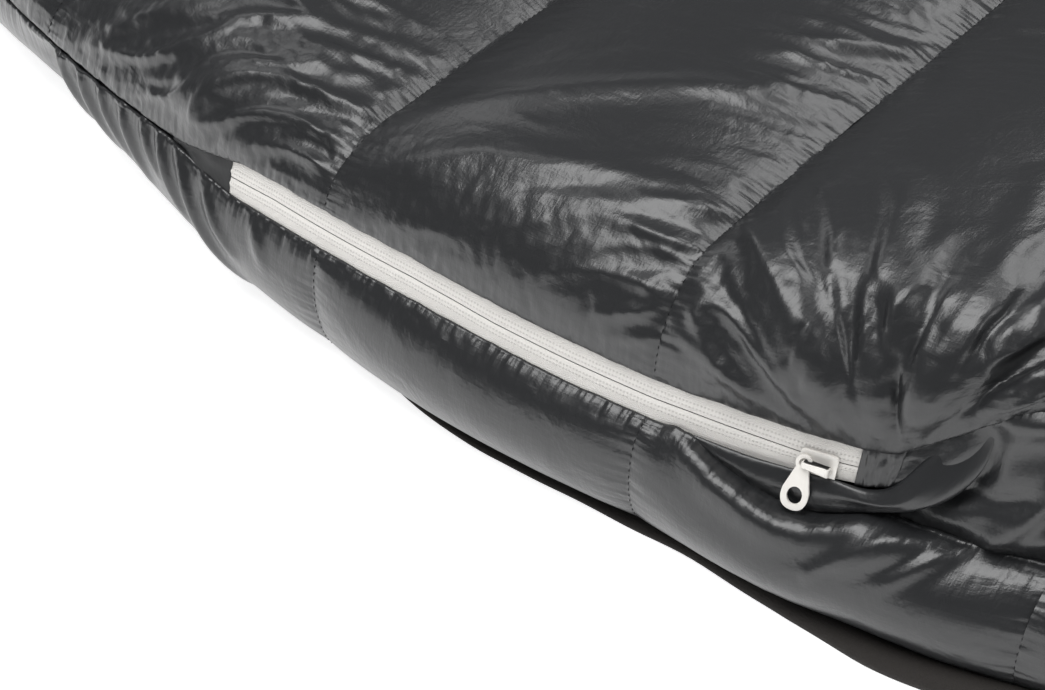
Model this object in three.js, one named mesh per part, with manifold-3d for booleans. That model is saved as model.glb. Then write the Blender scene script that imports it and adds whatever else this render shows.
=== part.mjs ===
// Down camp quilt, laid out flat with its length along X: foot at -X, head at +X.
// It is folded lengthwise at +Y; the zipped and open edges face -Y. Millimetres, +Z up.
// Every outline below is worked out in the zip frame, whose origin is the point where the
// second baffle seam crosses the zip; the last lines move the whole quilt onto its base.

import * as THREE from 'three';
import { mergeVertices } from 'three/addons/utils/BufferGeometryUtils.js';
import Module from 'manifold-3d';

const wasm = await Module();
wasm.setup();

// ---- driving dimensions ----------------------------------------------------------------------

const pitch = 155;               // from one baffle seam to the next
const regularChambers = 10;
const toeSeamX = -480;           // where the toe panel is sewn on
const footSeamX = -340;
const firstSeamX = -pitch;
const headSeamX = firstSeamX + regularChambers * pitch;
const toeDepth = 34;             // how far the toe panel puffs past its seam
const hemLength = 21;            // drawcord channel along the head end

const zipHeight = 65;            // zip centre line above the ground
const zipRadius = 780;           // the near side lies in a long arc
const zipVertexX = -97.3;        // where that arc runs parallel to X
const zipLean = THREE.MathUtils.degToRad(15);
const zipStartX = -213;
const zipEndX = 84;
const arcEndX = 150;             // past this the side eases out towards the shoulder

const groundGap = 3.3;           // underside of the down chambers above the ground
const seamTop = 50;              // baffle seams above the zip line, from the knee up
const topFallToFoot = 0.115;     // fall of the top, per millimetre towards the toe
const sleeperHalf = { ends: 5, middle: 33 };   // half the space between the two liners
const topDip = 8;                // sag of the top between the near side and the fold
const nearRound = 34;            // depth of the rounded upper near edge
const foldRound = 46;            // depth of the rounded fold at the far side
const sideBulge = 12;            // how far the lower layer swells past the zip
const crown = { top: 12, side: 3, bottom: 0 };

const skin = 0.7;                // shell and liner cloth, with its seam bulk
const gap = 0.3;                 // clearance between neighbouring pieces
const baffle = 0.8;              // baffle wall mesh
const edgeProud = 1.6;           // the shell's folded edge stands in front of the tape

const tape = { up: 8, down: 11, tuck: 2.5, half: 0.3, slot: 0.65 };

// ---- colours ---------------------------------------------------------------------------------

const cloth = (color, roughness) => new THREE.MeshStandardMaterial({ color, roughness, metalness: 0 });
const shellCloth = () => cloth(0x2f3033, 0.35);
const linerCloth = () => cloth(0x242528, 0.55);
const downFill = () => cloth(0xd9d4c8, 0.95);
const meshCloth = () => cloth(0x3a3b3e, 0.8);
const baseCloth = () => cloth(0x2b2826, 0.9);
const tapeCloth = () => cloth(0xd8d3cc, 0.85);
const coilNylon = () => cloth(0xcfcac2, 0.5);
const whiteMetal = () => new THREE.MeshStandardMaterial({ color: 0xe4e0d9, roughness: 0.4, metalness: 0.1 });
const darkMetal = () => new THREE.MeshStandardMaterial({ color: 0x3b3d40, roughness: 0.35, metalness: 0.8 });

// ---- outline of the quilt along its length ---------------------------------------------------

const ease = (t) => {
  const s = Math.min(1, Math.max(0, t));
  return s * s * (3 - 2 * s);
};
const lerp = (a, b, t) => a + (b - a) * t;

// Knots are [x, value] pairs; the value runs straight between them.
const along = (knots, x) => {
  if (x <= knots[0][0]) return knots[0][1];
  for (let i = 1; i < knots.length; i++) {
    if (x > knots[i][0]) continue;
    const [x0, v0] = knots[i - 1];
    const [x1, v1] = knots[i];
    return lerp(v0, v1, (x - x0) / (x1 - x0));
  }
  return knots[knots.length - 1][1];
};

// Sagitta of the zip's arc, measured in its leaning plane.
const zipSagitta = (x) => zipRadius - Math.sqrt(zipRadius ** 2 - (x - zipVertexX) ** 2);
const zipSagittaAtOrigin = zipSagitta(0);
const arcOut = (x) => zipSagitta(x) - zipSagittaAtOrigin;

// Near line: the zip, the sewn seam on its foot side and the open edge on its head side.
const shoulderEase = 350;
const shoulderSlope = -0.08;
const nearLine = (x) => {
  const onArc = arcOut(Math.min(x, arcEndX));
  const headDrop = -31 * ease((x - (headSeamX - pitch)) / pitch);
  if (x <= arcEndX) return { y: onArc * Math.cos(zipLean), z: -onArc * Math.sin(zipLean) };
  const slope = (arcEndX - zipVertexX) / zipRadius;
  const run = Math.min(x - arcEndX, shoulderEase);
  const eased = slope * run + ((shoulderSlope - slope) * run * run) / (2 * shoulderEase);
  const straight = shoulderSlope * Math.max(0, x - arcEndX - shoulderEase);
  return { y: onArc * Math.cos(zipLean) + eased + straight, z: -onArc * Math.sin(zipLean) + headDrop };
};

const farSide = (x) => {
  const toeRound = 55 * ease((footSeamX - x) / (footSeamX - toeSeamX));
  return 560 + 110 * ease((x + 100) / 900) - 40 * ease((x - 950) / 445) - toeRound;
};

const topAtSeam = (x) => {
  const headDrop = 65 * ease((x - (headSeamX - pitch)) / pitch);
  return seamTop + topFallToFoot * Math.min(0, x) - headDrop;
};

const underside = (x) => groundGap - zipHeight + 20 * ease((firstSeamX - x) / 325);
const middle = (x) => (underside(x) + topAtSeam(x) - topDip) / 2;

// Half the height of the sleeping space, which closes up towards both ends.
const spaceHalf = (x) => lerp(sleeperHalf.ends, sleeperHalf.middle,
  ease((x - toeSeamX) / 350) * ease((headSeamX - x) / (1.6 * pitch)));

// Height of the open strip above and below the near line. The zip fills it between
// the garages, the gusset where it widens, and past that the side is open.
const stripUp = (x) => along([[-250, 1.8], [-236, tape.up], [98, tape.up], [135, 34],
  [155, 36], [232.5, 36], [310, 8]], x);
const stripDown = (x) => along([[-250, 1.8], [-236, tape.down], [232.5, tape.down], [310, 8]], x);

// Section of the quilt at one x, as matching points on the shell and on the liner. It runs from
// the near side over the top, round the fold and back underneath to the near side.
const section = (x, puff) => {
  const near = nearLine(x);
  const top = topAtSeam(x);
  const low = underside(x) - crown.bottom * puff;
  const mid = middle(x);
  const half = spaceHalf(x);
  const far = farSide(x) + crown.side * puff;
  const lean = Math.tan(zipLean);
  const startY = near.y + stripUp(x) * lean - edgeProud;
  const startZ = near.z + stripUp(x);
  const endY = near.y - stripDown(x) * lean - edgeProud;
  const endZ = near.z - stripDown(x);
  const shell = [];
  const liner = [];
  const add = (outer, inner) => {
    shell.push(outer);
    liner.push(inner);
  };

  const rise = top + crown.top * puff - startZ;
  const innerStart = [startY + 5.5, startZ + 3.4];
  const linerTurn = [startY + nearRound, mid + half];
  for (let i = 0; i <= 3; i++) {
    const turn = (i / 3) * (Math.PI / 2);
    const y = startY + nearRound * (1 - Math.cos(turn)) - crown.side * puff * Math.sin(2 * turn);
    const t = i / 3;
    const inner = [
      lerp(innerStart[0], linerTurn[0], t),
      lerp(innerStart[1], linerTurn[1], Math.max(0, (t - 0.3) / 0.7)),
    ];
    add([y, startZ + rise * Math.sin(turn)], inner);
  }

  const crestY = startY + nearRound;
  const foldY = far - foldRound;
  for (let i = 1; i <= 2; i++) {
    const y = lerp(crestY, foldY, i / 3);
    const dip = topDip * Math.sin((Math.PI * i) / 3) ** 2;
    add([y, top + crown.top * puff - dip], [y, mid + half]);
  }

  const foldTop = top + crown.top * puff;
  for (let i = 0; i <= 4; i++) {
    const turn = Math.PI / 2 - (i / 4) * Math.PI;
    const outer = [
      foldY + foldRound * Math.cos(turn),
      (foldTop + low) / 2 + ((foldTop - low) / 2) * Math.sin(turn),
    ];
    add(outer, [foldY + half * Math.cos(turn), mid + half * Math.sin(turn)]);
  }

  const bottomY = near.y + 4;
  add([lerp(foldY, bottomY, 0.5), low], [lerp(foldY, bottomY, 0.5), mid - half]);
  const innerEnd = [endY + 5.5, endZ - 3.4];
  const linerBack = [near.y + nearRound, mid - half];
  const bulgeMid = (low + endZ) / 2;
  const bulgeHalf = (endZ - low) / 2;
  for (let i = 0; i <= 4; i++) {
    const t = i / 4;
    const turn = -Math.PI / 2 + t * Math.PI;
    const swell = (sideBulge + crown.side * puff) * Math.cos(turn);
    add([lerp(bottomY, endY, t) - swell, bulgeMid + bulgeHalf * Math.sin(turn)],
      [lerp(linerBack[0], innerEnd[0], t), lerp(linerBack[1], innerEnd[1], t)]);
  }
  return { shell, liner };
};

// Moves an open outline sideways by a distance, to the right of its direction.
const offset = (points, distance) => points.map(([y, z], i) => {
  const before = points[Math.max(0, i - 1)];
  const after = points[Math.min(points.length - 1, i + 1)];
  const inLength = Math.hypot(y - before[0], z - before[1]) || 1;
  const outLength = Math.hypot(after[0] - y, after[1] - z) || 1;
  const dir = [
    (y - before[0]) / inLength + (after[0] - y) / outLength,
    (z - before[1]) / inLength + (after[1] - z) / outLength,
  ];
  const length = Math.hypot(dir[0], dir[1]);
  const reach = length > 1.9999 || i === 0 || i === points.length - 1 ? distance : (2 * distance) / length;
  return [y + (dir[1] / length) * reach, z - (dir[0] / length) * reach];
});

// Draws the two ends of an outline back along itself, to keep clear of the tape.
const drawIn = (points, distance) => {
  const shorten = (end, next) => {
    const length = Math.hypot(next[0] - end[0], next[1] - end[1]);
    return [lerp(end[0], next[0], distance / length), lerp(end[1], next[1], distance / length)];
  };
  const last = points.length - 1;
  const kept = points.slice();
  kept[0] = shorten(points[0], points[1]);
  kept[last] = shorten(points[last], points[last - 1]);
  return kept;
};

// ---- closed solids from sections -------------------------------------------------------------

const solidFrom = (positions, triangles) => {
  const geometry = new THREE.BufferGeometry();
  geometry.setAttribute('position', new THREE.Float32BufferAttribute(positions.flat(), 3));
  geometry.setIndex(triangles.flat());
  return geometry;
};

// Turns a geometry's faces outwards if its signed volume says that they point in.
const faceOut = (geometry) => {
  const p = geometry.attributes.position;
  const index = geometry.index;
  const a = new THREE.Vector3();
  const b = new THREE.Vector3();
  const c = new THREE.Vector3();
  let volume = 0;
  for (let i = 0; i < index.count; i += 3) {
    a.fromBufferAttribute(p, index.getX(i));
    b.fromBufferAttribute(p, index.getX(i + 1));
    c.fromBufferAttribute(p, index.getX(i + 2));
    volume += a.dot(b.cross(c));
  }
  if (volume > 0) return geometry;
  for (let i = 0; i < index.count; i += 3) {
    const second = index.getX(i + 1);
    index.setX(i + 1, index.getX(i + 2));
    index.setX(i + 2, second);
  }
  return geometry;
};

// Rings are closed outlines with the same number of points; both ends get a fan from the middle.
const ringSolid = (rings) => {
  const count = rings[0].length;
  const positions = rings.flat();
  const triangles = [];
  for (let r = 0; r + 1 < rings.length; r++) {
    for (let i = 0; i < count; i++) {
      const j = (i + 1) % count;
      const [a, b, c, d] = [r * count + i, r * count + j, (r + 1) * count + j, (r + 1) * count + i];
      triangles.push([a, b, c], [a, c, d]);
    }
  }
  for (const [r, flip] of [[0, true], [rings.length - 1, false]]) {
    const ring = rings[r];
    const centre = [0, 1, 2].map((k) => ring.reduce((sum, q) => sum + q[k], 0) / count);
    positions.push(centre);
    const hub = positions.length - 1;
    for (let i = 0; i < count; i++) {
      const j = (i + 1) % count;
      triangles.push(flip ? [hub, r * count + j, r * count + i] : [hub, r * count + i, r * count + j]);
    }
  }
  return faceOut(solidFrom(positions, triangles));
};

// Stations hold x and two matching outlines; the solid fills the space between the outlines.
// Both sides split their quads along the same diagonal, so that nested pieces stay apart.
const bandSolid = (stations) => {
  const count = stations[0].outer.length;
  const width = 2 * count;
  const positions = [];
  for (const { x, outer, inner } of stations) {
    for (const [y, z] of outer) positions.push([x, y, z]);
    for (const [y, z] of inner) positions.push([x, y, z]);
  }
  const triangles = [];
  const quad = (a, b, c, d) => triangles.push([a, b, c], [a, c, d]);
  for (let s = 0; s + 1 < stations.length; s++) {
    const here = s * width;
    const next = here + width;
    for (let i = 0; i + 1 < count; i++) {
      const [a, b, c, d] = [here + i, here + i + 1, next + i + 1, next + i];
      triangles.push([a, b, c], [a, c, d]);
      triangles.push([a + count, c + count, b + count], [a + count, d + count, c + count]);
    }
    quad(here + count, here, next, next + count);
    quad(here + count - 1, here + width - 1, next + width - 1, next + count - 1);
  }
  const last = (stations.length - 1) * width;
  for (let i = 0; i + 1 < count; i++) {
    quad(i + 1, i, count + i, count + i + 1);
    quad(last + i, last + i + 1, last + count + i + 1, last + count + i);
  }
  return faceOut(solidFrom(positions, triangles));
};

const toManifold = (geometry) => {
  const bare = geometry.clone();
  bare.deleteAttribute('normal');
  bare.deleteAttribute('uv');
  const merged = mergeVertices(bare, 1e-4);
  return new wasm.Manifold(new wasm.Mesh({
    numProp: 3,
    vertProperties: new Float32Array(merged.attributes.position.array),
    triVerts: new Uint32Array(merged.index.array),
  }));
};

const toGeometry = (manifold) => {
  const mesh = manifold.getMesh();
  const geometry = new THREE.BufferGeometry();
  geometry.setAttribute('position', new THREE.BufferAttribute(new Float32Array(mesh.vertProperties), 3));
  geometry.setIndex(new THREE.BufferAttribute(new Uint32Array(mesh.triVerts), 1));
  return geometry;
};

const joined = (...geometries) => toGeometry(geometries.map(toManifold).reduce((a, b) => a.add(b)));
const cutBy = (geometry, tool) => toGeometry(toManifold(geometry).subtract(toManifold(tool)));

const quilt = new THREE.Group();
const place = (parent, name, geometry, material) => {
  const mesh = new THREE.Mesh(geometry, material);
  mesh.name = name;
  parent.add(mesh);
  return mesh;
};

// ---- stations along the quilt ----------------------------------------------------------------

const seams = [toeSeamX, footSeamX];
for (let i = 0; i <= regularChambers; i++) seams.push(firstSeamX + i * pitch);

// The strip's corners need stations of their own, so that neighbouring pieces share them, and
// the chambers beside the zip have closer ones, to follow its arc.
const extraStations = [-250, -236, 98, 135];
const closeShares = [0, 0.25, 0.5, 0.75, 1];
const wideShares = [0, 0.3, 0.7, 1];
const chamberStations = (k) => {
  const [x0, x1] = [seams[k], seams[k + 1]];
  const plain = (k >= 1 && k <= 3 ? closeShares : wideShares).map((t) => lerp(x0, x1, t));
  const inside = extraStations.filter((x) => x > x0 && x < x1);
  return [...plain.filter((x) => inside.every((e) => Math.abs(e - x) > 9)), ...inside]
    .sort((a, b) => a - b)
    .map((x) => ({ x, puff: Math.sin((Math.PI * (x - x0)) / (x1 - x0)) }));
};

const allStations = [];
for (let k = 0; k + 1 < seams.length; k++) {
  allStations.push(...chamberStations(k).slice(k === 0 ? 0 : 1));
}

// ---- shell, liner, down chambers and baffle walls --------------------------------------------

const shellBand = ({ x, puff }) => {
  const { shell } = section(x, puff);
  return { x, outer: shell, inner: offset(shell, skin) };
};
place(quilt, 'outer_shell', bandSolid(allStations.map(shellBand)), shellCloth());

const linerBand = ({ x, puff }) => {
  const { liner } = section(x, puff);
  return { x, outer: offset(liner, gap), inner: offset(liner, gap + skin) };
};
place(quilt, 'inner_liner', bandSolid(allStations.map(linerBand)), linerCloth());

const fillBand = ({ x, puff }) => {
  const { shell, liner } = section(x, puff);
  return { x, outer: offset(drawIn(shell, tape.tuck + 2 * gap), skin + 3 * gap), inner: liner };
};
// Part way from one band to the next, so that a cut lies on the straight run between them.
const partWay = (from, to, distance) => {
  const t = distance / Math.abs(to.x - from.x);
  const mix = (a, b) => a.map(([y, z], i) => [lerp(y, b[i][0], t), lerp(z, b[i][1], t)]);
  return { x: lerp(from.x, to.x, t), outer: mix(from.outer, to.outer), inner: mix(from.inner, to.inner) };
};
const chamberBands = seams.slice(0, -1).map((_, k) => chamberStations(k).map(fillBand));
chamberBands.forEach((bands, k) => {
  const inset = baffle / 2 + gap;
  const last = bands.length - 1;
  const cut = [
    partWay(bands[0], bands[1], inset),
    ...bands.slice(1, last),
    partWay(bands[last], bands[last - 1], inset),
  ];
  place(quilt, `down_chamber_${String(k + 1).padStart(2, '0')}`, bandSolid(cut), downFill());
});
for (let k = 1; k < chamberBands.length; k++) {
  const before = chamberBands[k - 1].slice(-2);
  const [seam, after] = chamberBands[k];
  const wall = [partWay(seam, before[0], baffle / 2), partWay(seam, after, baffle / 2)];
  place(quilt, `baffle_wall_${String(k).padStart(2, '0')}`, bandSolid(wall), meshCloth());
}

// ---- toe panel -------------------------------------------------------------------------------

// Outline of the whole tube at the toe seam, drawn in about its own middle by a share.
const toeRing = (x, share, inset) => {
  const { shell } = section(toeSeamX, 0);
  const outline = offset(shell, inset);
  const centre = [0, 1].map((k) => outline.reduce((sum, q) => sum + q[k], 0) / outline.length);
  return outline.map(([y, z]) => [x, lerp(centre[0], y, share), lerp(centre[1], z, share)]);
};
// Rings of a dome over the toe seam, its flat middle left small.
const toeDome = (start, depth, spread, inset) => [0, 30, 55, 75].map((turn) => {
  const angle = THREE.MathUtils.degToRad(turn);
  return toeRing(start - depth * Math.sin(angle), 0.12 + spread * Math.cos(angle), inset);
});
const toeSkin = 1;
const toeOuter = ringSolid(toeDome(toeSeamX - gap, toeDepth, 0.88, 0));
const toeHollow = ringSolid([
  toeRing(toeSeamX + 5, 1, toeSkin),
  ...toeDome(toeSeamX - gap, toeDepth - toeSkin, 0.88, toeSkin),
]);
place(quilt, 'toe_panel', cutBy(toeOuter, toeHollow), shellCloth());
place(quilt, 'toe_fill', ringSolid(toeDome(toeSeamX - 1.6, toeDepth - 4, 0.87, 1.6)), downFill());
const toeLinerRings = [0.3, 1.2].map((behind) => toeRing(toeSeamX - behind, 0.96, 2));
place(quilt, 'toe_liner', ringSolid(toeLinerRings), linerCloth());

// ---- underside panel -------------------------------------------------------------------------

// Plain matte panel on the ground. Towards the head it stands out past the chambers above it.
// It stands out most beside the end of the zip, where the lower layer swells over it.
const panelStart = -200;
const panelOut = (x) => 4 + 20 * ease((x + 60) / 230) + 13 * ease((x - 20) / 110) * ease((450 - x) / 150);
const panelNear = (x) => nearLine(x).y - panelOut(x);
const panelStations = [panelStart, ...allStations.map((s) => s.x).filter((x) => x > panelStart + 20)];
place(quilt, 'base_panel', ringSolid(panelStations.map((x) => {
  const [y0, y1] = [panelNear(x), farSide(x) - 25];
  const outline = [[y0, 1.5], [y0 + 3, 0], [y1, 0], [y1, 3], [y0 + 3, 3]];
  return outline.map(([y, z]) => [x, y, z - zipHeight]);
})), baseCloth());

// ---- pieces that follow the near line --------------------------------------------------------

// Sweeps a rectangle: across is [inner, outer] distance outwards from the leaning strip,
// and up(x) gives its [low, high] height on the strip.
const nearStrip = (xs, across, up) => ringSolid(xs.map((x) => {
  const near = nearLine(x);
  const [low, high] = up(x);
  const lean = Math.tan(zipLean);
  const at = (height, out) => [x, near.y + height * lean - out, near.z + height];
  return [at(low, across[0]), at(low, across[1]), at(high, across[1]), at(high, across[0])];
}));
const stationsBetween = (x0, x1) => {
  const inside = allStations.map((s) => s.x).filter((x) => x > x0 + 4 && x < x1 - 4);
  return [x0, ...inside, x1];
};

const sewnRun = stationsBetween(toeSeamX + 1, -251);
place(quilt, 'side_seam', nearStrip(sewnRun, [-3, 0.8], () => [-1.4, 1.4]), shellCloth());
place(quilt, 'side_gusset', nearStrip(stationsBetween(98.4, 309), [-1.3, 0.4],
  (x) => [-stripDown(x) + 0.7, stripUp(x) - 0.7]), shellCloth());
const openRun = stationsBetween(312, headSeamX);
const binding = [-5, 1.2];
place(quilt, 'side_binding_upper', nearStrip(openRun, binding, () => [3.4, 7.2]), shellCloth());
place(quilt, 'side_binding_lower', nearStrip(openRun, binding, () => [-7.2, -3.4]), shellCloth());

// Insulated draft tube, sewn to the liner behind the zip.
const draftRadius = 4.6;
const draftSides = 10;
place(quilt, 'draft_tube', ringSolid(stationsBetween(-228, 134).map((x) => {
  const near = nearLine(x);
  return Array.from({ length: draftSides }, (_, i) => {
    const turn = (i / draftSides) * 2 * Math.PI;
    return [x, near.y + 10.6 + draftRadius * Math.cos(turn), near.z + draftRadius * Math.sin(turn)];
  });
})), shellCloth());

// ---- head end: drawcord channel with its eyelets ---------------------------------------------

// The channel narrows a little towards its open edge.
const hemBand = (x, taper) => {
  const { outer, inner } = fillBand({ x: headSeamX, puff: 0 });
  return { x, outer: offset(outer, taper), inner: offset(inner, -taper) };
};
const hemStart = headSeamX + gap;
place(quilt, 'head_hem', bandSolid([
  hemBand(hemStart + hemLength, 1.2), hemBand(hemStart, 0),
]), shellCloth());

const eyelet = { outer: 4.2, inner: 2.1, thick: 1.2 };
const eyeletProfile = [
  [eyelet.inner, 0], [eyelet.outer, 0], [eyelet.outer - 0.5, eyelet.thick],
  [eyelet.inner, eyelet.thick], [eyelet.inner, 0],
].map(([r, z]) => new THREE.Vector2(r, z));
const headNear = nearLine(headSeamX);
const headMid = middle(headSeamX);
for (const [name, z] of [['eyelet_upper', headMid + 12.5], ['eyelet_lower', headMid - 12.5]]) {
  const ring = place(quilt, name, new THREE.LatheGeometry(eyeletProfile, 20), darkMetal());
  ring.rotation.z = -Math.PI / 2;
  ring.position.set(headSeamX + hemLength + 2 * gap, headNear.y + 62, z);
}

// ---- snap closure at the neck ----------------------------------------------------------------

const snap = { x: headSeamX - 22, width: 20, length: 26, thick: 1.6, radius: 5.5 };
const tabLevel = { upper: 5.3, lower: -5.3 };
const neck = nearLine(snap.x);
for (const [side, level] of Object.entries(tabLevel)) {
  const tabShape = new THREE.BoxGeometry(snap.width, snap.length, snap.thick);
  const tab = place(quilt, `snap_tab_${side}`, tabShape, shellCloth());
  tab.position.set(snap.x, neck.y - 6 - snap.length / 2, neck.z + level);
}
const disc = (profile) => new THREE.LatheGeometry(profile.map(([r, z]) => new THREE.Vector2(r, z)), 24);
const capShape = [[0, 0], [snap.radius, 0], [snap.radius, 0.5], [snap.radius - 1.4, 1.3], [0, 1.5]];
const studShape = [[0, 0], [4.4, 0], [4.4, 0.5], [1.9, 0.6], [2.1, 1.6], [0, 1.9]];
const socketShape = [[0, 0], [4.4, 0], [4.4, 1.3], [2.6, 1.5], [2.5, 0.6], [0, 0.6]];
const snapPiece = (name, shape, z, up) => {
  const piece = place(quilt, name, disc(shape), darkMetal());
  piece.rotation.x = up ? Math.PI / 2 : -Math.PI / 2;
  piece.position.set(snap.x, neck.y - 6 - snap.length + 10, z);
};
const halfTab = snap.thick / 2 + gap;
snapPiece('snap_cap', capShape, neck.z + tabLevel.upper + halfTab, true);
snapPiece('snap_stud', studShape, neck.z + tabLevel.upper - halfTab, false);
snapPiece('snap_socket', socketShape, neck.z + tabLevel.lower + halfTab, true);
snapPiece('snap_back', capShape, neck.z + tabLevel.lower - halfTab, false);

// ---- zip -------------------------------------------------------------------------------------

// Its own frame: origin at the arc's centre, Z along the arc's axis, so a piece of the zip is a
// stretch of a ring and the slider only turns about Z.
const zipFrame = new THREE.Group();
const centreDistance = zipRadius - zipSagittaAtOrigin;
zipFrame.position.set(zipVertexX, centreDistance * Math.cos(zipLean), -centreDistance * Math.sin(zipLean));
zipFrame.rotation.x = -zipLean;
quilt.add(zipFrame);

const zipAngle = (x) => Math.asin((x - zipVertexX) / zipRadius);
const zipStrip = (x0, x1, steps, out, up) => {
  const rings = [];
  for (let i = 0; i <= steps; i++) {
    const angle = lerp(zipAngle(x0), zipAngle(x1), i / steps);
    const at = (o, h) => [(zipRadius + o) * Math.sin(angle), -(zipRadius + o) * Math.cos(angle), h];
    rings.push([at(out[0], up[0]), at(out[1], up[0]), at(out[1], up[1]), at(out[0], up[1])]);
  }
  return ringSolid(rings);
};
const thickness = [-tape.half, tape.half];
place(zipFrame, 'zip_tape_upper', zipStrip(zipStartX - 20, zipEndX, 20, thickness,
  [tape.slot, tape.up + tape.tuck - 0.6]), tapeCloth());
place(zipFrame, 'zip_tape_lower', zipStrip(zipStartX - 20, zipEndX, 20, thickness,
  [-tape.down - tape.tuck + 0.6, -tape.slot]), tapeCloth());

const coil = { start: zipStartX, end: zipEndX - 5, depth: [-2.7, -0.6], reach: 2.6 };
const coilStrip = (up) => zipStrip(coil.start, coil.end, 20, coil.depth, up);
place(zipFrame, 'zip_coil_upper', coilStrip([tape.slot, coil.reach]), coilNylon());
place(zipFrame, 'zip_coil_lower', coilStrip([-coil.reach, -tape.slot]), coilNylon());

const stop = { depth: [-3, -0.6], reach: 3 };
const stopStrip = (x0, x1, up) => zipStrip(x0, x1, 1, stop.depth, up);
const topStop = [zipEndX - 4.5, zipEndX - 1];
place(zipFrame, 'top_stop_upper', stopStrip(...topStop, [tape.slot, stop.reach]), whiteMetal());
place(zipFrame, 'top_stop_lower', stopStrip(...topStop, [-stop.reach, -tape.slot]), whiteMetal());
const bottomStop = [zipStartX - 5, zipStartX - 0.5];
place(zipFrame, 'bottom_stop', stopStrip(...bottomStop, [-stop.reach, stop.reach]), whiteMetal());

const garage = { out: [0.6, 1.7], up: [-9.6, 7] };
const garageStrip = (x0, x1) => zipStrip(x0, x1, 3, garage.out, garage.up);
place(zipFrame, 'zip_garage_head', garageStrip(zipEndX - 4, zipEndX + 13.5), shellCloth());
place(zipFrame, 'zip_garage_foot', garageStrip(zipStartX - 21, zipStartX), shellCloth());

// ---- slider: body, crown and pull ------------------------------------------------------------

// Frame on the zip's centre line: X along the zip to the head, Y inwards, Z across the tapes.
const sliderX = 66;
const sliderFrame = new THREE.Group();
sliderFrame.rotation.z = zipAngle(sliderX);
zipFrame.add(sliderFrame);
const onZip = new THREE.Group();
onZip.position.y = -zipRadius;
sliderFrame.add(onZip);

const slider = { length: 14.4, head: 10.6, tail: 8.6, front: -0.65, plate: 1.2, back: 3.2 };
const plateShape = new THREE.Shape();
const [halfLength, halfHead, halfTail, corner] = [slider.length / 2, slider.head / 2, slider.tail / 2, 1.6];
plateShape.moveTo(-halfLength + corner, -halfTail);
plateShape.lineTo(halfLength - corner, -halfHead);
plateShape.quadraticCurveTo(halfLength, -halfHead, halfLength, -halfHead + corner);
plateShape.lineTo(halfLength, halfHead - corner);
plateShape.quadraticCurveTo(halfLength, halfHead, halfLength - corner, halfHead);
plateShape.lineTo(-halfLength + corner, halfTail);
plateShape.quadraticCurveTo(-halfLength, halfTail, -halfLength, halfTail - corner);
plateShape.lineTo(-halfLength, -halfTail + corner);
plateShape.quadraticCurveTo(-halfLength, -halfTail, -halfLength + corner, -halfTail);
const flat = (depth, curveSegments) => ({ depth, bevelEnabled: false, curveSegments });
// Extrudes in the plane across the zip, from one depth outwards (towards -Y) by a thickness.
const plateAt = (shape, depth, thick) => {
  const geometry = new THREE.ExtrudeGeometry(shape, flat(thick, 4));
  geometry.rotateX(Math.PI / 2);
  geometry.translate(0, depth, 0);
  return geometry;
};
const block = (x, y, z) => {
  const geometry = new THREE.BoxGeometry(x[1] - x[0], y[1] - y[0], z[1] - z[0]);
  geometry.translate((x[0] + x[1]) / 2, (y[0] + y[1]) / 2, (z[0] + z[1]) / 2);
  return geometry;
};
const frontPlate = plateAt(plateShape, slider.front, slider.plate);
const backPlate = plateAt(plateShape, slider.back + slider.plate, slider.plate);
const post = block([2.5, 5.5], [slider.front - 0.4, slider.back + 0.4], [-0.35, 0.35]);
const flangeX = [-halfLength + corner, halfLength - corner];
const upperFlange = block(flangeX, [0.7, slider.back + 0.4], [3, 4]);
const lowerFlange = block(flangeX, [0.7, slider.back + 0.4], [-4, -3]);
place(onZip, 'slider_body', joined(frontPlate, backPlate, post, upperFlange, lowerFlange), whiteMetal());

const plateFace = slider.front - slider.plate;
const crownLegs = { left: -4.5, right: 4.9, thick: 1.4, width: 2.2, under: 3.3, strip: 1.2 };
const crownOutline = new THREE.Shape();
const foot = plateFace - gap;
const underStrip = foot - crownLegs.under;
const halfLeg = crownLegs.thick / 2;
crownOutline.moveTo(crownLegs.left - halfLeg, foot);
crownOutline.lineTo(crownLegs.left - halfLeg, underStrip);
crownOutline.quadraticCurveTo(crownLegs.left - halfLeg, underStrip - crownLegs.strip,
  crownLegs.left + 1.2, underStrip - crownLegs.strip);
crownOutline.lineTo(crownLegs.right - 1.2, underStrip - crownLegs.strip);
crownOutline.quadraticCurveTo(crownLegs.right + halfLeg, underStrip - crownLegs.strip,
  crownLegs.right + halfLeg, underStrip);
crownOutline.lineTo(crownLegs.right + halfLeg, foot);
crownOutline.lineTo(crownLegs.right - halfLeg, foot);
crownOutline.lineTo(crownLegs.right - halfLeg, underStrip);
crownOutline.lineTo(crownLegs.left + halfLeg, underStrip);
crownOutline.lineTo(crownLegs.left + halfLeg, foot);
crownOutline.closePath();
const crownGeometry = new THREE.ExtrudeGeometry(crownOutline, flat(crownLegs.width, 5));
crownGeometry.translate(0, 0, -crownLegs.width / 2);
place(onZip, 'slider_crown', crownGeometry, whiteMetal());

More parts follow.
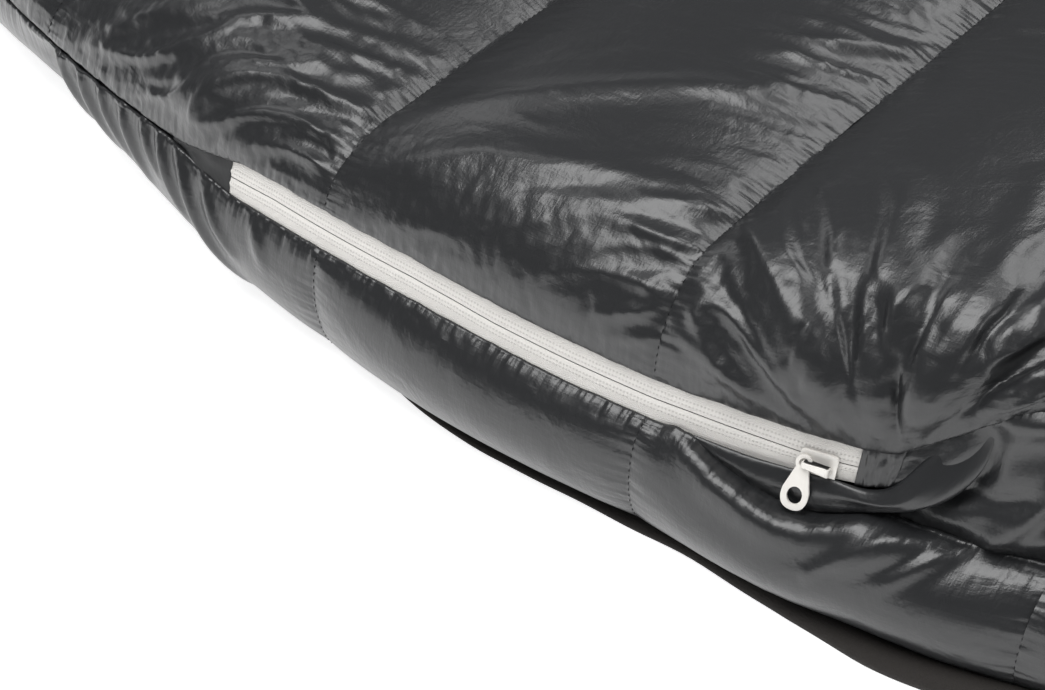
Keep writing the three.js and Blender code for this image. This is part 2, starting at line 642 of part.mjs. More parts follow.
// The pull's eye goes round the crown's left leg. The pull hangs down and leans a little
// outwards over the swelling of the lower layer.
const pull = { eye: 3.1, hole: 1.75, neck: 2.5, widest: 5.35, length: 18.5, thick: 1.4 };
const pullLean = THREE.MathUtils.degToRad(12);
const pullShape = new THREE.Shape();
const tipStart = pull.length - 4.6;
pullShape.moveTo(-pull.neck, -2.2);
pullShape.lineTo(-pull.widest + 0.3, -tipStart + 3);
pullShape.quadraticCurveTo(-pull.widest - 0.5, -pull.length, 0, -pull.length);
pullShape.quadraticCurveTo(pull.widest + 0.5, -pull.length, pull.widest - 0.3, -tipStart + 3);
pullShape.lineTo(pull.neck, -2.2);
pullShape.absarc(0, 0, pull.eye, THREE.MathUtils.degToRad(-40), THREE.MathUtils.degToRad(220), false);
const eyeHole = new THREE.Path();
eyeHole.absarc(0, 0, pull.hole, 0, 2 * Math.PI, true);
pullShape.holes.push(eyeHole);
const gripHole = new THREE.Path();
gripHole.absellipse(0, -pull.length + 5.6, 2.9, 3.4, 0, 2 * Math.PI, true);
pullShape.holes.push(gripHole);
const pullGeometry = new THREE.ExtrudeGeometry(pullShape, flat(pull.thick, 10));
pullGeometry.translate(0, 0, -pull.thick / 2);
pullGeometry.rotateX(Math.PI / 2);
const pullMesh = place(onZip, 'pull_tab', pullGeometry, whiteMetal());
pullMesh.rotation.x = -pullLean;
pullMesh.position.set(crownLegs.left, plateFace - gap - crownLegs.under / 2, 0);

// ---- the whole quilt on its base -------------------------------------------------------------

// From the zip's origin to the middle of the quilt's own box.
const toMiddle = { x: -452.33, y: -323.3 };
const whole = new THREE.Group();
quilt.position.set(toMiddle.x, toMiddle.y, zipHeight);
whole.add(quilt);

export default whole;
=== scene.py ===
"""A down camp quilt, folded lengthwise on the ground, built up in the order in which it is sewn.

Outlines are in millimetres from the point where the second baffle seam crosses the zip: X to
the head, Y from the zipped side to the fold, Z up. place() turns them into the frame's metres.
"""

import math
from contextlib import contextmanager

import bmesh
import bpy
import numpy as np
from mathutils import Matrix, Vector, noise


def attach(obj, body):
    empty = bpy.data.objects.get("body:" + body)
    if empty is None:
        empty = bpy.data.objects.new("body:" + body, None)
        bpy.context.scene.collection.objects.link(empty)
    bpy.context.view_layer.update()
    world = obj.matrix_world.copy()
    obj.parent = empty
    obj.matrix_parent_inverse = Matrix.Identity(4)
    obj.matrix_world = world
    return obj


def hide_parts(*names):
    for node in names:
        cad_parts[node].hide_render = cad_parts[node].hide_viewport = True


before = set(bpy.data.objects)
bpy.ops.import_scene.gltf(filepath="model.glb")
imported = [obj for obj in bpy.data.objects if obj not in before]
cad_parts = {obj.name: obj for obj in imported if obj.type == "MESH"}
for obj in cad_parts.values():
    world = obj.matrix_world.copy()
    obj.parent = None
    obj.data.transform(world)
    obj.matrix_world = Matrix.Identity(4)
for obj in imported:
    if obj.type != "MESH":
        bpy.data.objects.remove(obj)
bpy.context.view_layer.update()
scene = bpy.context.scene

# ---- Floor, light and camera ----
# A plain pale floor under a pale backdrop, one strong softbox overhead, a weaker one above the
# fold side and three faint ones round about. The camera looks down on the zipped side.

CAMERA_PLACE = (-0.01217, -0.96744, 0.78734)
CAMERA_TILT, CAMERA_TURN = 48.15, 37.85
ZIP_MIDDLE = (-0.45, -0.30, 0.07)
FLOOR_FINISH = {"Base Color": (0.88, 0.88, 0.88, 1), "Roughness": 0.9, "Specular IOR Level": 0.1,
                "Emission Color": (1, 1, 1, 1), "Emission Strength": 0.8}
BACKDROP_FINISH = {"Color": (0.9, 0.92, 0.95, 1), "Strength": 0.17}

bpy.ops.object.select_all(action="DESELECT")
bpy.ops.mesh.primitive_plane_add(size=14, location=(0, 0, -0.0006))
floor = bpy.context.object
floor.name = "floor"
floor_paint = bpy.data.materials.new("pale_floor")
floor_paint.use_nodes = True
for label, value in FLOOR_FINISH.items():
    floor_paint.node_tree.nodes["Principled BSDF"].inputs[label].default_value = value
floor.data.materials.append(floor_paint)

backdrop = bpy.data.worlds.new("backdrop")
backdrop.use_nodes = True
for label, value in BACKDROP_FINISH.items():
    backdrop.node_tree.nodes["Background"].inputs[label].default_value = value
scene.world = backdrop
scene.view_settings.view_transform = "Standard"


def linked(name, data):
    """A new object in the scene."""
    made = bpy.data.objects.new(name, data)
    scene.collection.objects.link(made)
    return made


for name, position, width, depth, watts in (
        ("softbox_fold_side", (-0.14, 1.05, 1.45), 1.35, 0.9, 17),
        ("softbox_overhead", (-0.72, -0.55, 2.1), 1.5, 1.6, 58),
        ("softbox_zip_side", (-0.9, -1.5, 1.6), 1.4, 0.6, 2.5),
        ("softbox_head_end", (1.5, -0.1, 1.3), 0.7, 0.9, 8),
        ("softbox_foot_end", (-2.0, 0.3, 1.3), 0.7, 0.7, 3)):
    light = bpy.data.lights.new(name, "AREA")
    light.shape = "RECTANGLE"
    light.size, light.size_y, light.energy = width, depth, watts
    lamp = linked(name, light)
    lamp.location = position
    lamp.rotation_euler = (Vector(ZIP_MIDDLE) - Vector(position)).to_track_quat("-Z", "Y").to_euler()

camera_data = bpy.data.cameras.new("camera")
camera_data.lens, camera_data.sensor_width = 100, 36
camera = linked("camera", camera_data)
camera.location = CAMERA_PLACE
camera.rotation_euler = (math.radians(CAMERA_TILT), 0, math.radians(CAMERA_TURN))
scene.camera = camera

# ---- Outer shell ----
# One layer of glossy charcoal ripstop nylon over twelve chambers of down. Each chamber's cloth
# is cut wider than the space between its two seams, so that the down pushes it up into a crown
# and the spare cloth gathers along the stitching and beside the zip.

ORIGIN = np.array((-452.33, -323.3, 65.0))
PITCH = 155.0
TOE_SEAM, FOOT_SEAM = -480.0, -340.0
SEAMS = [TOE_SEAM, FOOT_SEAM] + [PITCH * (i - 1) for i in range(11)]
HEAD_SEAM = SEAMS[-1]
# The zip's long arc, how far its side leans, and how the edge runs on towards the head.
ZIP_RADIUS, ZIP_VERTEX, LEAN = 780.0, -97.3, math.tan(math.radians(15))
ARC_END, SHOULDER, NECK_TAPER, NECK_DROP = 150.0, 350.0, 0.08, 31
NEAR_ROUND, FOLD_ROUND, TOP_DIP = 34.0, 46.0, 8.0
CROWN_TOP, CROWN_SIDE, PROUD = 6.0, 3.0, 1.6
# Lines of (x, measure): the side's bulge, its foot, and the shell's edge above and below the zip.
SIDE_BULGE = ([-480, -300, -227, -150, 0, 60, 310, 420], [4, 2, 6, 10, 12, 14, 14, 12])
SIDE_FOOT = ([-480, -400, -367, -300, -227, -160, -90, 0, 57, 125, 155, 310, 400],
             [4, 12, 18, 18, 13, 9, 4, 1, -8, -19, -22, -20, 4])
GROUND = -65.0
CREST_LIMIT, CREST_EASE, CREST_ROOM = 71.0, 12, 14
STRIP_UP = ([-250, -240, -227, -211, -198, -175, -110, -80, -50, 0,
             15, 40, 62, 84, 94, 106, 120, 135, 155, 232, 310],
            [1.2, 1.4, 3.6, 7, 9.2, 10, 10.2, 9, 8.2, 7.6,
             8.2, 9.4, 10.4, 13, 16, 26, 37, 47, 51, 46, 8])
STRIP_DOWN = ([-250, -240, -225, -208, -150, -110, -80, -40, 16, 30,
               45, 60, 72, 87, 97, 107, 126, 149, 232, 310],
              [0.8, 2.2, 5.6, 8, 7.2, 7.4, 8, 9.4, 9.4, 12.5,
               16, 18.5, 18, 12, 10.5, 12, 11, 8.5, 9, 8])
EDGE_WANDER, FINE_STRETCH = 0.3, 170
CLOSE_CHAMBERS = (1, 2, 3, 4)
CLOSE_CELL, WIDE_CELL = 2.5, 8.0


def place(points):
    """Millimetres in the quilt's outline to metres in the frame."""
    return (np.asarray(points, float) + ORIGIN) * 0.001


def ease(t):
    """0 to 1, slow at both ends."""
    t = min(1.0, max(0.0, t))
    return t * t * (3 - 2 * t)


def read_off(line, x):
    """The measure at x on a line of (x, measure)."""
    return float(np.interp(x, *line))


def near_line(x):
    """(y, z) of the zipped side: a sewn seam, the zip on its long arc, then the open edge."""
    arc = [ZIP_RADIUS - math.sqrt(ZIP_RADIUS**2 - (at - ZIP_VERTEX) ** 2)
           for at in (min(x, ARC_END), 0)]
    out = (arc[0] - arc[1]) * math.cos(math.atan(LEAN))
    y, z = out, -out * LEAN
    if x > ARC_END:
        slope, run = (ARC_END - ZIP_VERTEX) / ZIP_RADIUS, min(x - ARC_END, SHOULDER)
        y += slope * run - (NECK_TAPER + slope) * run**2 / (2 * SHOULDER)
        y -= NECK_TAPER * max(0, x - ARC_END - SHOULDER)
        z -= NECK_DROP * ease((x - HEAD_SEAM + PITCH) / PITCH)
    return y, z


def fold_side(x):
    """y of the fold."""
    toe = 55 * ease((FOOT_SEAM - x) / (FOOT_SEAM - TOE_SEAM))
    return 560 + 110 * ease((x + 100) / 900) - 40 * ease((x - 950) / 445) - toe


def seam_top(x):
    """z of the top where it is sewn down."""
    return 50 + 0.115 * min(0, x) - 65 * ease((x - HEAD_SEAM + PITCH) / PITCH)


def seam_low(x):
    """z of the underside."""
    return GROUND + 3.3 + 20 * ease((-PITCH - x) / 325)


def graded(count, length):
    """Shares of a length: half of the points lie on its first stretch, the others beyond it."""
    half, first = count // 2, min(FINE_STRETCH / length, 0.6)
    start = np.linspace(0, first, half, endpoint=False)
    return np.append(start, np.linspace(first, 1, count - half, endpoint=False))


COUNTS = {"near": 27, "top": 120, "fold": 18, "low": 40, "side": 31}


def outline(x, *parts):
    """Points at x from the (y, z) of each part of an outline."""
    yz = np.hstack(parts).T
    return np.column_stack([np.full(len(yz), x), yz])


def section(x, puff):
    """Outline of the shell at x: up the near side, over the top, round the fold and back below."""
    near_y, near_z = near_line(x)
    wander = EDGE_WANDER * noise.noise((x * 0.12, 0, 0))
    up, down = read_off(STRIP_UP, x) + wander, read_off(STRIP_DOWN, x) + wander
    top, low = seam_top(x) + CROWN_TOP * puff, seam_low(x)
    y, z = near_y + up * LEAN - PROUD, near_z + up
    turn = np.linspace(0, math.pi / 2, COUNTS["near"], endpoint=False)
    near = [y + NEAR_ROUND * (1 - np.cos(turn)) - CROWN_SIDE * puff * np.sin(2 * turn),
            z + (top - z) * np.sin(turn)]
    crest, fold = y + NEAR_ROUND, fold_side(x) + CROWN_SIDE * puff - FOLD_ROUND
    share = graded(COUNTS["top"], fold - crest)
    over = [crest + (fold - crest) * share, top - TOP_DIP * np.sin(math.pi * share) ** 2]
    turn = math.pi / 2 - np.linspace(0, math.pi, COUNTS["fold"], endpoint=False)
    bend = [fold + FOLD_ROUND * np.cos(turn), (top + low) / 2 + (top - low) / 2 * np.sin(turn)]
    share = np.linspace(0, 1, COUNTS["low"], endpoint=False)
    foot, bulge = near_y + read_off(SIDE_FOOT, x), read_off(SIDE_BULGE, x)
    below = [fold + (foot - fold) * share, np.full(len(share), low)]
    share = np.linspace(0, 1, COUNTS["side"])
    y, z = near_y - down * LEAN - PROUD, near_z - down
    turn = (share - 0.5) * math.pi
    side = [foot + (y - foot) * share - (bulge + CROWN_SIDE * puff) * np.cos(turn),
            (low + z) / 2 + (z - low) / 2 * np.sin(turn)]
    return outline(x, near, over, bend, below, side)


def reach_along(grid):
    """How far each column of a grid lies from its first, in mm along the cloth."""
    return np.append(0, np.cumsum(np.linalg.norm(np.diff(grid, axis=1), axis=2).mean(axis=0)))


def grid_object(name, grid, material=None, closed=False, flip=False, across=None):
    """A mesh from rows of points in mm, with a cloth UV map in metres along and across."""
    grid = np.asarray(grid, float)
    rows, columns = grid.shape[:2]
    points = place(grid.reshape(-1, 3))
    wrap = columns if closed else columns - 1
    a = (np.arange(rows - 1)[:, None] * columns + np.arange(wrap)).ravel()
    b = (np.arange(rows - 1)[:, None] * columns + (np.arange(wrap) + 1) % columns).ravel()
    quads = np.column_stack([a, b, b + columns, a + columns])
    if not flip:
        quads = quads[:, ::-1]
    mesh = bpy.data.meshes.new(name)
    mesh.from_pydata(points.tolist(), [], quads.tolist())
    across = (reach_along(grid) if across is None else np.asarray(across)) * 0.001
    along = grid[:, :, 0] * 0.001
    uv = np.column_stack([along.ravel(), np.tile(across, rows)])
    corners = np.empty(len(mesh.loops), int)
    mesh.loops.foreach_get("vertex_index", corners)
    mesh.uv_layers.new(name="cloth").data.foreach_set("uv", uv[corners].ravel().astype(np.float32))
    mesh.polygons.foreach_set("use_smooth", np.ones(len(mesh.polygons), bool))
    if material:
        mesh.materials.append(material)
    return linked(name, mesh)


def node(tree, kind, inputs=None, **settings):
    """A shader node with its settings; each input is a value or another node's output."""
    made = tree.nodes.new(kind)
    for key, value in settings.items():
        setattr(made, key, value)
    for key, value in (inputs or {}).items():
        if isinstance(value, bpy.types.NodeSocket):
            tree.links.new(value, made.inputs[key])
        else:
            made.inputs[key].default_value = value
    return made


def sums(tree, operation, first, second=0.0, third=0.0):
    """The output of one Math node."""
    return node(tree, "ShaderNodeMath", {0: first, 1: second, 2: third}, operation=operation).outputs[0]


def scaled(tree, vector, scale):
    """A coordinate stretched along its axes."""
    return node(tree, "ShaderNodeMapping", {"Vector": vector, "Scale": scale}).outputs[0]


def noise_at(tree, vector, scale, detail=2.0, distortion=0.0):
    """Smooth noise about 0 on a coordinate."""
    made = node(tree, "ShaderNodeTexNoise", {"Vector": vector, "Scale": scale, "Detail": detail,
                                             "Distortion": distortion})
    return sums(tree, "SUBTRACT", made.outputs[0], 0.5)


def shader_inputs(tree):
    """The inputs of a material's main shader."""
    return tree.nodes["Principled BSDF"].inputs


def finish_material(name, colour, roughness, specular=0.5, metallic=0.0):
    """A material and its node tree."""
    material = bpy.data.materials.new(name)
    material.use_nodes = True
    for label, value in (("Base Color", (*colour, 1)), ("Roughness", roughness),
                         ("Specular IOR Level", specular), ("Metallic", metallic)):
        shader_inputs(material.node_tree)[label].default_value = value
    return material, material.node_tree


def cloth_uv(tree):
    """The cloth's own coordinate: metres along and across the piece."""
    return node(tree, "ShaderNodeUVMap", uv_map="cloth").outputs["UV"]


def object_at(tree):
    """The place on the object, in metres."""
    return node(tree, "ShaderNodeTexCoord").outputs["Object"]


def bump(tree, height, distance):
    """Drives the shader's normal with a height."""
    made = node(tree, "ShaderNodeBump", {"Height": height, "Distance": distance, "Strength": 1.0})
    tree.links.new(made.outputs["Normal"], shader_inputs(tree)["Normal"])


def tinted(tree, factor, dark, light):
    """Mixes the base colour between two finishes by a factor of about 0 to 1."""
    mixed = node(tree, "ShaderNodeMix", {"Factor": factor, "A": (*dark, 1), "B": (*light, 1)},
                 data_type="RGBA")
    tree.links.new(mixed.outputs["Result"], shader_inputs(tree)["Base Color"])


RIPSTOP_PITCH, RIPSTOP_SHARP = 0.0032, 30.0
# How high the threads, crumples, slubs, grain and gathers of the nylon stand, in mm.
THREADS_HIGH, CRUMPLES_HIGH, SLUBS_HIGH, GRAIN_HIGH, GATHERS_HIGH = 0.012, 0.8, 0.05, 0.09, 1.7


def ripstop(name, colour, roughness):
    """Downproof nylon: a faint grid of thicker threads, small crumples, and gathers at its seams."""
    material, tree = finish_material(name, colour, roughness)
    uv = cloth_uv(tree)
    split = node(tree, "ShaderNodeSeparateXYZ", {"Vector": uv}).outputs
    grid = []
    for axis in ("X", "Y"):
        wave = sums(tree, "SINE", sums(tree, "MULTIPLY", split[axis], math.pi / RIPSTOP_PITCH))
        grid.append(sums(tree, "POWER", sums(tree, "ABSOLUTE", wave), RIPSTOP_SHARP))
    crumple = noise_at(tree, uv, 55.0, detail=5.0, distortion=0.6)
    slub = noise_at(tree, scaled(tree, uv, (1500, 520, 1)), 1.0)
    grain = noise_at(tree, scaled(tree, uv, (620, 290, 1)), 1.0)
    gathers = []
    for label, scale in (("rim", (230, 26, 1)), ("stitch", (22, 190, 1))):
        near = node(tree, "ShaderNodeAttribute", attribute_name=label).outputs["Fac"]
        gathers.append(sums(tree, "MULTIPLY", noise_at(tree, scaled(tree, uv, scale), 1.0, 1.0), near))
    height = sums(tree, "MULTIPLY", crumple, CRUMPLES_HIGH)
    for part, high in ((sums(tree, "MAXIMUM", *grid), THREADS_HIGH), (slub, SLUBS_HIGH),
                       (grain, GRAIN_HIGH), (sums(tree, "ADD", *gathers), GATHERS_HIGH)):
        height = sums(tree, "MULTIPLY_ADD", part, high, height)
    bump(tree, height, 0.001)
    tinted(tree, sums(tree, "MULTIPLY_ADD", noise_at(tree, uv, 9.0), 0.5, 0.5),
           [c * 0.85 for c in colour], [c * 1.15 for c in colour])
    return material


def between_seams(k, t, inset=0.0):
    """x at a share t of the way from a chamber's foot-side seam to its head-side one."""
    return SEAMS[k] + inset + (SEAMS[k + 1] - SEAMS[k] - 2 * inset) * t


def chamber_grid(k, cell):
    """Rows of points from one seam to the next, the cloth rising between them."""
    count = round((SEAMS[k + 1] - SEAMS[k]) / cell)
    return np.array([section(between_seams(k, t), max(0.0, math.sin(math.pi * t)) ** 0.7)
                     for t in np.linspace(0, 1, count + 1)])


SIM_SCALE, SIM_FRAMES, START_NOISE = 0.01, 25, 0.002
# Chamber 2 is pulled nearly smooth, and the cloth of chamber 3 fans out from the zip's end.
SMOOTH_CHAMBER, FAN_CHAMBER = 2, 3
RUMPLE_POINT, CRINKLE_POINT = (97, 12), (99, 14)
RUMPLE, SLACK, GROUND_PIN = (9.0, 2.5), (0.42, 0.14), 0.9


def outward(grid):
    """The direction in which each point of a grid faces."""
    normal = np.cross(np.gradient(grid, axis=0), np.gradient(grid, axis=1))
    return normal / np.maximum(np.linalg.norm(normal, axis=2, keepdims=True), 1e-9)


def round_point(x, away, point):
    """Angle and distance of a place on the cloth, seen from (x, mm outside the rim)."""
    return math.atan2(away + point[1], point[0] - x), math.hypot(away + point[1], point[0] - x)


def rumpled(k, grid):
    """Lifts the slack cloth into long folds across the chamber, which the down then fills."""
    lift, reach = np.zeros(grid.shape[:2]), reach_along(grid)
    share = (grid[:, 0, 0] - SEAMS[k]) / (SEAMS[k + 1] - SEAMS[k])
    for i in range(1, len(grid) - 1):
        for j in range(1, grid.shape[1] - COUNTS["side"]):
            x, away = grid[i, j, 0], reach[j]
            if k == FAN_CHAMBER:
                angle, far = round_point(x, away, RUMPLE_POINT)
                spot = (angle * 4.2, far * 0.010, 5.0)
            else:
                spot = (x * 0.012 + away * 0.007, away * 0.032 + x * 0.006, k * 3.7)
            high = RUMPLE[k == SMOOTH_CHAMBER] * noise.noise(spot)
            lift[i, j] = high * math.sin(math.pi * share[i]) ** 0.5 * min(1, away / 25)
    return grid + outward(grid) * lift[:, :, None]


# How the nylon behaves under the pressure of the down.
CLOTH_FEEL = {
    "quality": 5, "mass": 0.02, "air_damping": 2,
    "tension_stiffness": 15, "compression_stiffness": 15,
    "shear_stiffness": 8, "bending_stiffness": 0.01,
    "tension_damping": 8, "compression_damping": 8, "shear_damping": 5, "bending_damping": 1,
    "use_pressure": True, "uniform_pressure_force": 4,
    "vertex_group_mass": "pin", "pin_stiffness": 5,
    "vertex_group_shrink": "seam", "shrink_min": -0.005, "shrink_max": -0.2}


def cloth_for(k, grid):
    """The chamber's cloth, pinned along its seams and rims and cut widest beside them."""
    rows, columns = grid.shape[:2]
    rng = np.random.default_rng(k + 3)
    start = rumpled(k, grid) * SIM_SCALE + rng.uniform(-START_NOISE, START_NOISE, grid.shape)
    piece = grid_object(f"cloth_{k:02d}", grid)
    piece.data.vertices.foreach_set("co", start.ravel().astype(np.float32))
    pin, seam = piece.vertex_groups.new(name="pin"), piece.vertex_groups.new(name="seam")
    below = range(columns - COUNTS["side"] - COUNTS["low"], columns - COUNTS["side"] + 1)
    reach, rim, beside = on_chamber(grid)
    spread = [10 + 26 * max(0.0, 0.4 + noise.noise((away * 0.035, k * 5.1, 0))) for away in reach]
    for i in range(rows):
        for j in range(columns):
            edge = i in (0, rows - 1) or j in (0, columns - 1)
            if edge or j in below:
                pin.add([i * columns + j], 1.0 if edge else GROUND_PIN, "REPLACE")
            gather = max(math.exp(-beside[i] / spread[j]), math.exp(-rim[j] / 12))
            if j > below[-1]:
                gather = max(0.5 * math.exp(-beside[i] / 8), 0.75 * math.exp(-rim[j] / 7))
            elif j not in below:
                gather = max(gather, SLACK[k == SMOOTH_CHAMBER])
            seam.add([i * columns + j], gather, "REPLACE")
    cloth = piece.modifiers.new("down", "CLOTH")
    for key, value in CLOTH_FEEL.items():
        setattr(cloth.settings, key, value)
    cloth.settings.effector_weights.gravity = 0
    cloth.collision_settings.use_collision = False
    cloth.collision_settings.use_self_collision = False
    cloth.point_cache.frame_start, cloth.point_cache.frame_end = 1, SIM_FRAMES
    return piece


def on_chamber(grid):
    """Distances on the cloth in mm: along it, from its nearer rim, and from its nearer seam."""
    reach = reach_along(grid)
    beside = np.minimum(grid[:, 0, 0] - grid[0, 0, 0], grid[-1, 0, 0] - grid[:, 0, 0])
    return reach, np.minimum(reach, reach[-1] - reach), beside


grids = [chamber_grid(k, CLOSE_CELL if k in CLOSE_CHAMBERS else WIDE_CELL) for k in range(12)]
rest_grids = [grid.copy() for grid in grids]
cloths = [cloth_for(k, grid) for k, grid in enumerate(grids)]
scene.frame_start, scene.frame_end = 1, SIM_FRAMES
for step in range(1, SIM_FRAMES + 1):
    scene.frame_set(step)
seen = bpy.context.evaluated_depsgraph_get()
for k, piece in enumerate(cloths):
    settled = piece.evaluated_get(seen).data
    flat = np.empty(len(settled.vertices) * 3, np.float32)
    settled.vertices.foreach_get("co", flat)
    grids[k] = flat.reshape(grids[k].shape).astype(float) / SIM_SCALE
for piece in cloths:
    bpy.data.objects.remove(piece)
scene.frame_set(1)


def folded(grid, reach, folds):
    """Raises long soft folds along lines of (x, distance from the upper or lower rim)."""
    normal = outward(grid)
    for side, line, height, width in folds:
        away = reach if side == "upper" else reach[-1] - reach
        spot = np.stack([grid[:, :, 0], np.broadcast_to(away, grid.shape[:2])], axis=2)
        lift = np.zeros(grid.shape[:2])
        line = np.array(line, float)
        for leg, start in enumerate(line[:-1]):
            run = line[leg + 1] - start
            t = np.clip(((spot - start) @ run) / (run @ run), 0, 1)
            gap = np.linalg.norm(spot - (start + t[:, :, None] * run), axis=2)
            share = (leg + t) / (len(line) - 1)
            taper = np.sin(math.pi * np.clip(0.12 + 0.76 * share, 0, 1))
            lift = np.maximum(lift, taper * np.exp(-(gap / width) ** 2))
        grid = grid + normal * (height * lift)[:, :, None]
    return grid


def crinkled(k, grid, reach):
    """Adds the sharp-backed wrinkles that crumpled nylon keeps, running across the chamber, or
    beside the zip's end running away from it."""
    lift = np.zeros(grid.shape[:2])
    for i in range(1, len(grid) - 1):
        edge = min(1.0, min(i, len(grid) - 1 - i) / 4)
        for j in range(1, grid.shape[1] - COUNTS["side"] - COUNTS["low"]):
            x, away = grid[i, j, 0], reach[j]
            patch = noise.noise((x * 0.011 + 40, away * 0.011, k * 2.0))
            if k == FAN_CHAMBER:
                angle, far = round_point(x, away, CRINKLE_POINT)
                spot = (angle * 5.5, far * 0.013, 1.0)
                size = 3.4 * ease(far / 60) * ease((190 - far) / 120)
                patch += 0.25
            else:
                wander = 14 * noise.noise((x * 0.014, away * 0.014, 9.0 + k))
                spot, size = (x * 0.013, (away + wander - 0.35 * x) * 0.055, k * 3.1), 3.6
            if k == SMOOTH_CHAMBER:
                size *= 0.8 * ease((x + 75) / 60) + 0.15
            ridge = 1 - min(1.0, 3.2 * abs(noise.noise(spot)))
            fine = 1 - min(1.0, 3.0 * abs(noise.noise((spot[0] * 2.1, spot[1] * 2.3, 7.0))))
            size *= edge * min(1.0, away / 12) * ease(0.55 + 1.5 * patch)
            lift[i, j] = size * (ridge**2 + 0.5 * fine**2)
    return grid + outward(grid) * lift[:, :, None]


def calmed(grid, rest):
    """Evens out the lower side below its rim, where the down keeps the cloth taut."""
    moved = grid - rest
    side = moved[:, -COUNTS["side"]:]
    even = side.copy()
    for _ in range(6):
        even[1:-1] = (even[:-2] + 2 * even[1:-1] + even[2:]) / 4
        even[:, 1:-1] = (even[:, :-2] + 2 * even[:, 1:-1] + even[:, 2:]) / 4
    share = np.array([ease((COUNTS["side"] - 5 - j) / 5) for j in range(COUNTS["side"])])
    moved[:, -COUNTS["side"]:] = side + (even - side) * share[None, :, None]
    return rest + moved


def eased_crest(grid):
    """Keeps the cloth under the height that the folded quilt has, and off the ground."""
    start, room = CREST_LIMIT - CREST_EASE, CREST_ROOM
    excess = np.maximum(grid[:, :, 2] - start, 0)
    high = np.minimum(grid[:, :, 2], start) + room * (1 - np.exp(-excess / room))
    grid[:, :, 2] = np.maximum(high, GROUND + 0.8)
    return grid


# The seam allowance in section, from its raw edge to the rim.
TURN_IN = np.array([(0, 3.4, 2.2), (0, 2.4, -0.2), (0, 1.3, -0.55), (0, 0.4, -0.4)])


def with_turned_edges(grid):
    """Adds the seam allowance that is folded in along both rims."""
    upper = grid[:, :1] + TURN_IN
    lower = grid[:, -1:] + TURN_IN[::-1] * (1, 1, -1)
    return np.concatenate([upper, grid, lower], axis=1)


# Long folds that the pull of the zip's ends draws into the cloth, by chamber: the rim that they
# are measured from, their line of (x, mm from that rim), their height and their width.
FOLDS = {
    1: [("upper", [(-325, 30), (-290, 60), (-240, 95)], 3.0, 7),
        ("lower", [(-332, 0), (-326, 12), (-314, 32)], 3.6, 3.0),
        ("lower", [(-314, 0), (-308, 12), (-294, 34)], 3.6, 3.0),
        ("lower", [(-298, 0), (-293, 10), (-280, 28)], 3.2, 2.6),
        ("lower", [(-282, 0), (-277, 10), (-264, 30)], 3.4, 2.6),
        ("lower", [(-266, 0), (-262, 8), (-254, 20)], 3.0, 2.2),
        ("lower", [(-254, 0), (-248, 12), (-236, 30)], 3.6, 2.6),
        ("lower", [(-241, 0), (-233, 12), (-218, 30), (-204, 44)], 3.6, 2.8),
        ("lower", [(-222, 3), (-214, 14), (-203, 24)], 2.6, 3.0),
        ("lower", [(-192, 2), (-187, 10), (-184, 18)], 2.0, 3.0)],
    2: [("upper", [(-150, 60), (-95, 95), (-30, 140), (-5, 150)], 3.0, 8),
        ("upper", [(-148, 25), (-100, 52), (-45, 66), (-8, 74)], 2.5, 7)],
    3: [("upper", [(96, 14), (70, 60), (45, 110)], 5.5, 7),
        ("upper", [(88, 6), (48, 26), (14, 62)], 4.0, 9),
        ("upper", [(101, 16), (98, 70), (84, 130)], 5.0, 7),
        ("upper", [(106, 8), (120, 60), (128, 120)], 5.0, 6),
        ("upper", [(114, 6), (136, 34), (150, 60)], 3.5, 5),
        ("lower", [(14, 1), (24, 7), (34, 10), (46, 11), (56, 12), (76, 10), (96, 7), (112, 5)],
         5.5, 7.0),
        ("lower", [(112, 0), (96, 12), (78, 26)], 3.2, 2.6),
        ("lower", [(118, 0), (103, 12), (90, 22)], 3.0, 2.4),
        ("lower", [(126, 0), (115, 11), (104, 22)], 3.2, 2.6)],
    4: [("upper", [(158, 20), (200, 60), (240, 80)], 4.5, 9),
        ("lower", [(158, 20), (200, 40), (250, 46)], 3.5, 8)],
}


def marked(piece, label, values):
    """Stores how near each point is to a rim or a seam, where the finish gathers the cloth."""
    near = piece.data.attributes.new(label, "FLOAT", "POINT")
    near.data.foreach_set("value", values.astype(np.float32))


def picked(piece):
    """Makes a piece the only one that is selected, and the active one."""
    bpy.ops.object.select_all(action="DESELECT")
    piece.select_set(True)
    bpy.context.view_layer.objects.active = piece


def applied(piece, kind, **settings):
    """Adds a modifier with its settings and applies it."""
    picked(piece)
    modifier = piece.modifiers.new(kind.lower(), kind)
    for key, value in settings.items():
        setattr(modifier, key, value)
    bpy.ops.object.modifier_apply(modifier=modifier.name)
    return piece


chamber_pieces = []
shell_nylon = ripstop("shell_nylon", (0.015, 0.0155, 0.0165), 0.31)
for k, (grid, rest) in enumerate(zip(grids, rest_grids)):
    reach, rim, beside = on_chamber(rest)
    grid[0], grid[-1] = rest[0], rest[-1]
    grid = crinkled(k, folded(calmed(grid, rest), reach, FOLDS.get(k, [])), reach)
    grid = with_turned_edges(eased_crest(grid))
    rim = np.pad(rim, len(TURN_IN))
    piece = grid_object(f"chamber_{k:02d}", grid, shell_nylon)
    marked(piece, "rim", np.tile(np.exp(-rim / 7), len(grid)))
    marked(piece, "stitch", np.repeat(np.exp(-beside / 9), grid.shape[1]))
    if k in CLOSE_CHAMBERS:
        applied(piece, "SUBSURF", levels=1, render_levels=1)
    chamber_pieces.append(piece)


def joined(pieces, name):
    """Several pieces as one, under a new name."""
    picked(pieces[0])
    for piece in pieces:
        piece.select_set(True)
    bpy.ops.object.join()
    pieces[0].name = pieces[0].data.name = name
    return pieces[0]


